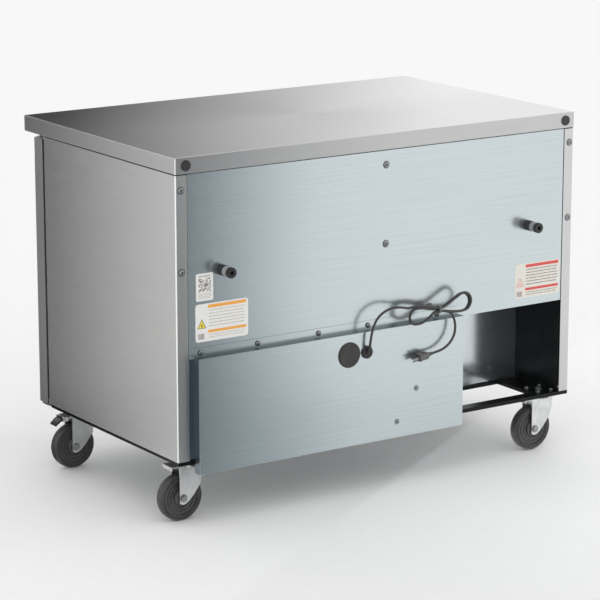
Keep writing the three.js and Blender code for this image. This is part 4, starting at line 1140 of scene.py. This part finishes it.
def make_fan(node, centre, axis, radius, hub, material, blades=5):
    """A fan with cambered blades on a domed hub."""
    bm = bmesh.new()
    turn = Matrix.Translation(centre) @ basis_for(axis)
    add_lathe(bm, [(0.0, -0.008), (hub, -0.008), (hub, 0.005), (hub * 0.8, 0.0078), (hub * 0.35, 0.0088),
                   (0.0, 0.009)],
              centre, axis, 28)
    for i in range(blades):
        base = 2 * math.pi * i / blades
        top, bottom = [], []
        for r_step in range(7):
            r = hub * 0.9 + (radius - hub * 0.9) * r_step / 6
            spread = 0.32 + 0.1 * r_step / 6
            for c_step in range(7):
                c = c_step / 6 - 0.5
                a = base + spread * c * 1.9 + 0.15 * r_step / 6
                lift = -c * (0.015 if r_step else 0.012) * 0.9 + 0.0016 * (1 - 4 * c * c)
                point = (r * math.cos(a), r * math.sin(a))
                top.append(bm.verts.new(turn @ Vector((*point, lift + 0.0007))))
                bottom.append(bm.verts.new(turn @ Vector((*point, lift - 0.0007))))
        for r_step in range(6):
            for c_step in range(6):
                k = r_step * 7 + c_step
                bm.faces.new((top[k], top[k + 1], top[k + 8], top[k + 7]))
                bm.faces.new((bottom[k + 7], bottom[k + 8], bottom[k + 1], bottom[k]))
        edge = ([k for k in range(7)] + [7 * r + 6 for r in range(1, 7)] + [42 + c for c in range(5, -1, -1)]
                + [7 * r for r in range(5, 0, -1)])
        for k, j in zip(edge, edge[1:] + edge[:1]):
            bm.faces.new((top[j], top[k], bottom[k], bottom[j]))
    skin(node, bm, material, sharp=60)


make_fan("evaporator_fan", Vector((CENTRE_X + 0.07, 0.172, 0.73)), (0, -1, 0), 0.06, 0.014, M["fan_white"])
make_fan("condenser_fan", Vector((-0.1505, REAR_Y - 0.1, 0.285)), (1, 0, 0), 0.07, 0.015, M["aluminium"])
refine("evaporator_cover", M["aluminium"], 0.0008, 2)
refine("unit_tray", M["tray"], 0.0008, 2)
refine("condenser_shroud", M["black"], 0.0008, 2)


def make_coil(low, high, axis, count, tube_axis, tube_radius, spots):
    """A finned block: thin plates along one axis, with round tubes along another. A spot is where a tube
    goes, as shares of the block's depth and height."""
    bm = bmesh.new()
    thickness = 0.0006
    span = high[axis] - low[axis]
    for i in range(count):
        lo, hi = low.copy(), high.copy()
        for k in range(3):
            if k != axis:
                lo[k] += 0.0003
                hi[k] -= 0.0003
        lo[axis] = low[axis] + (span - thickness) * i / (count - 1)
        hi[axis] = lo[axis] + thickness
        add_box(bm, lo, hi)
    depth_axis = 1 - tube_axis
    for depth, height in spots:
        start = low.copy()
        start[depth_axis] += (high - low)[depth_axis] * depth
        start.z += (high - low).z * height
        end = start.copy()
        start[tube_axis], end[tube_axis] = low[tube_axis] + 0.001, high[tube_axis] - 0.001
        add_tube(bm, [start, end], tube_radius, 12, 1)
    return bm


def make_evaporator_coil():
    low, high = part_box("evaporator_coil")
    spots = [(0.28 + 0.44 * j, 0.14 + 0.24 * i) for i in range(4) for j in range(2)]
    bm = make_coil(low, high, 0, 64, 0, 0.0048, spots)
    skin("evaporator_coil", bm, [M["fins"], M["copper"]])


def make_condenser_coil():
    low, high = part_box("condenser_coil")
    base = low.z + 0.006
    spots = [(0.3 + 0.4 * j, 0.08 + 0.14 * i) for i in range(7) for j in range(2)]
    bm = make_coil(Vector((low.x, low.y, base)), high, 2, 60, 1, 0.0045, spots)
    add_box(bm, (low.x + 0.01, low.y + 0.01, low.z), (low.x + 0.05, high.y - 0.01, low.z + 0.0075), 2)
    for y in (low.y + 0.0006, high.y - 0.0018):
        add_box(bm, (low.x + 0.001, y, base), (high.x - 0.001, y + 0.0012, high.z - 0.0005), 2)
    skin("condenser_coil", bm, [M["fins"], M["copper"], M["tray"]])


make_evaporator_coil()
make_condenser_coil()


def make_compressor():
    """A hermetic shell with a weld flange, feet on grommets and pipe stubs."""
    low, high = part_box("compressor")
    x = (low.x + high.x) / 2
    y = REAR_Y - 0.1
    z = low.z
    bm = bmesh.new()
    shell = mm((0, 14), (50, 14.5), (64, 19), (69, 32), (69, 76), (69.8, 76.8), (69.8, 81), (69, 81.8),
               (69, 110), (66.5, 125), (60, 138), (48, 147.8), (30, 154), (0, 156))
    add_lathe(bm, shell, Vector((x, y, z)), UP, 64, 0)
    foot = [(a - 0.078, b - 0.066) for a, b in rounded_outline(0.156, 0.132, 0.012)]
    add_prism(bm, foot, 0.0085, 0.0115, Matrix.Translation((x, y, z)), 1)
    for dx in (-0.066, 0.066):
        for dy in (-0.054, 0.054):
            spot = Vector((x + dx, y + dy, z))
            add_lathe(bm, mm((0, 0), (8, 0), (8, 6.2), (6.2, 8.5), (6.2, 11.5), (7.6, 12), (7.4, 14),
                             (0, 14)), spot, UP, 20, 2)
            hex_bm(bm, spot + Vector((0, 0, 0.014)), UP, 0.0048, 0.0032, 3)
    suction = [(x + 0.04, y + 0.05, z + 0.12), (x + 0.04, y + 0.06, z + 0.12),
               (x + 0.04, y + 0.07, z + 0.122)]
    add_tube(bm, smooth_path(suction, 0.002), 0.0042, 12, 4)
    skin("compressor", bm, [M["compressor"], M["black"], M["tyre"], M["screw"], M["copper"]], sharp=40)
    bm = bmesh.new()
    discharge = [
        (x - 0.05, y + 0.046, z + 0.11), (x - 0.066, y + 0.062, z + 0.118), (x - 0.11, y + 0.066, z + 0.15),
        (x - 0.18, y + 0.066, z + 0.205), (x - 0.23, y + 0.066, z + 0.222),
        (x - 0.285, y + 0.064, z + 0.222), (x - 0.33, y + 0.06, z + 0.222),
        (-0.196, y + 0.06, z + 0.222), (-0.1965, y + 0.06, z + 0.214),
    ]
    add_tube(bm, smooth_path(discharge, 0.004), 0.0035, 10)
    publish("discharge_pipe", bm, M["copper"], "cabinet")


make_compressor()


# ---------------------------------------------------------------- studio


def stage_plane(name, corners, material):
    mesh = bpy.data.meshes.new(name)
    mesh.from_pydata([Vector(c) for c in corners], [], [(0, 1, 2, 3)])
    mesh.materials.append(material)
    obj = bpy.data.objects.new(name, mesh)
    bpy.context.scene.collection.objects.link(obj)
    return obj


def key_light(place, target, size, power, spread):
    """A small square light, which no reflection shows."""
    data = bpy.data.lights.new("key", "AREA")
    data.size = size
    data.energy = power
    data.spread = math.radians(spread)
    obj = bpy.data.objects.new("key", data)
    obj.location = place
    obj.rotation_mode = "QUATERNION"
    obj.rotation_quaternion = (Vector(target) - Vector(place)).to_track_quat("-Z", "Y")
    obj.visible_camera = False
    obj.visible_glossy = False
    bpy.context.scene.collection.objects.link(obj)


def gradient_card(name, origin, across, reach, span, stops, upright=True, low=0.0, high=2.6, dim=(1, 1, 1)):
    """A studio card that only reflections see. Its light changes along its own X axis, between two stops."""
    across = Vector((across[0], across[1], 0)).normalized()
    away = Vector((-across.y, across.x, 0))
    material = bpy.data.materials.new(name)
    material.use_nodes = True
    tree = material.node_tree
    tree.nodes.clear()
    output = tree.nodes.new("ShaderNodeOutputMaterial")
    glow = tree.nodes.new("ShaderNodeEmission")
    coords = tree.nodes.new("ShaderNodeTexCoord")
    split = tree.nodes.new("ShaderNodeSeparateXYZ")
    ramp = tree.nodes.new("ShaderNodeMapRange")
    tree.links.new(coords.outputs["Object"], split.inputs[0])
    tree.links.new(split.outputs[0], ramp.inputs["Value"])
    for key, value in zip(("From Min", "From Max", "To Min", "To Max"), stops):
        ramp.inputs[key].default_value = value
    tree.links.new(ramp.outputs["Result"], glow.inputs["Strength"])
    hue = tree.nodes.new("ShaderNodeMix")
    hue.data_type = "RGBA"
    hue.inputs[6].default_value = (*dim, 1.0)
    hue.inputs[7].default_value = (1, 1, 1, 1)
    tree.links.new(ramp.outputs["Result"], hue.inputs[0])
    tree.links.new(hue.outputs[2], glow.inputs["Color"])
    tree.links.new(glow.outputs[0], output.inputs["Surface"])
    if upright:
        corners = [(span[0], 0, low), (span[1], 0, low), (span[1], 0, high), (span[0], 0, high)]
        place = Vector((*origin, 0)) + away * reach
    else:
        corners = [(span[0], 0.22, 0), (span[1], 0.22, 0), (span[1], reach, 0), (span[0], reach, 0)]
        place = Vector((*origin, 0.003))
    obj = stage_plane(name, corners, material)
    obj.matrix_world = Matrix.Translation(place) @ Matrix((across, away, (0, 0, 1))).transposed().to_4x4()
    for ray in ("camera", "diffuse", "transmission", "volume_scatter", "shadow"):
        setattr(obj, "visible_" + ray, False)


def make_studio():
    floor = Shader("studio_floor", (0.94, 0.94, 0.94), 0.7)
    speck = floor.noise(30, 2.0)
    floor.shade(floor.remap(speck, 0, 1), (0.93, 0.93, 0.93), (0.95, 0.95, 0.95))
    s = 14.0
    stage_plane("studio_floor", [(-s, -s, -0.0002), (s, -s, -0.0002), (s, s, -0.0002), (-s, s, -0.0002)],
                floor.material)

    # behind the rear face: dark towards the right side of the cabinet, bright towards the left
    rear = dict(origin=(0.43, REAR_Y + 0.03), across=(0.844, 0.536), span=(-3.0, 1.0),
                stops=(-0.22, 0.24, 1.1, 0.0))
    gradient_card("card_rear", reach=1.1, low=0.17, dim=(0.8, 0.93, 1.03), **rear)
    # lower down it changes more slowly, for the cover
    rear["stops"] = (-0.26, 0.26, 1.04, 0.0)
    gradient_card("card_rear_low", reach=1.1, high=0.17, dim=(0.8, 0.93, 1.03), **rear)
    rear["stops"] = (-0.34, 0.29, 0.9, 0.0)
    gradient_card("card_rear_floor", reach=1.1, upright=False, dim=(0.8, 0.93, 1.03), **rear)
    # beside the right side: bright by the rear corner, dark by the front
    side = dict(origin=(RIGHT_X + 0.03, 0.0), across=(-0.87, -0.493), span=(-1.1, 0.37),
                stops=(-0.3, 0.12, 1.12, 0.0))
    gradient_card("card_side", reach=0.9, **side)
    side["stops"] = (-0.3, 0.12, 0.9, 0.0)
    gradient_card("card_side_floor", reach=0.9, upright=False, **side)
    # beyond the worktop: dark behind its right end, bright behind its left end
    gradient_card("card_top", origin=(0.0, -0.4), across=(1, 0), reach=-0.8, span=(-2.2, 0.36),
                  stops=(-1.35, 0.08, 1.25, 0.0), low=0.93, high=3.0)

    # before the doors, below the worktop's reflections
    gradient_card("card_front", origin=(0.0, -0.4), across=(1, 0), reach=-0.72, span=(-1.5, 0.6),
                  stops=(-0.6, 1.0, 0.95, 0.6), low=0.0, high=0.9)

    world = bpy.data.worlds.new("studio")
    world.use_nodes = True
    bpy.context.scene.world = world
    background = world.node_tree.nodes["Background"]
    background.inputs["Color"].default_value = (1, 1, 1, 1)
    background.inputs["Strength"].default_value = 1.0

    key_light((-1.9, 3.4, 0.12), (-0.6, 0.36, 0.45), size=0.25, power=0.9, spread=46)
    bpy.context.scene.view_settings.view_transform = "Standard"


make_studio()
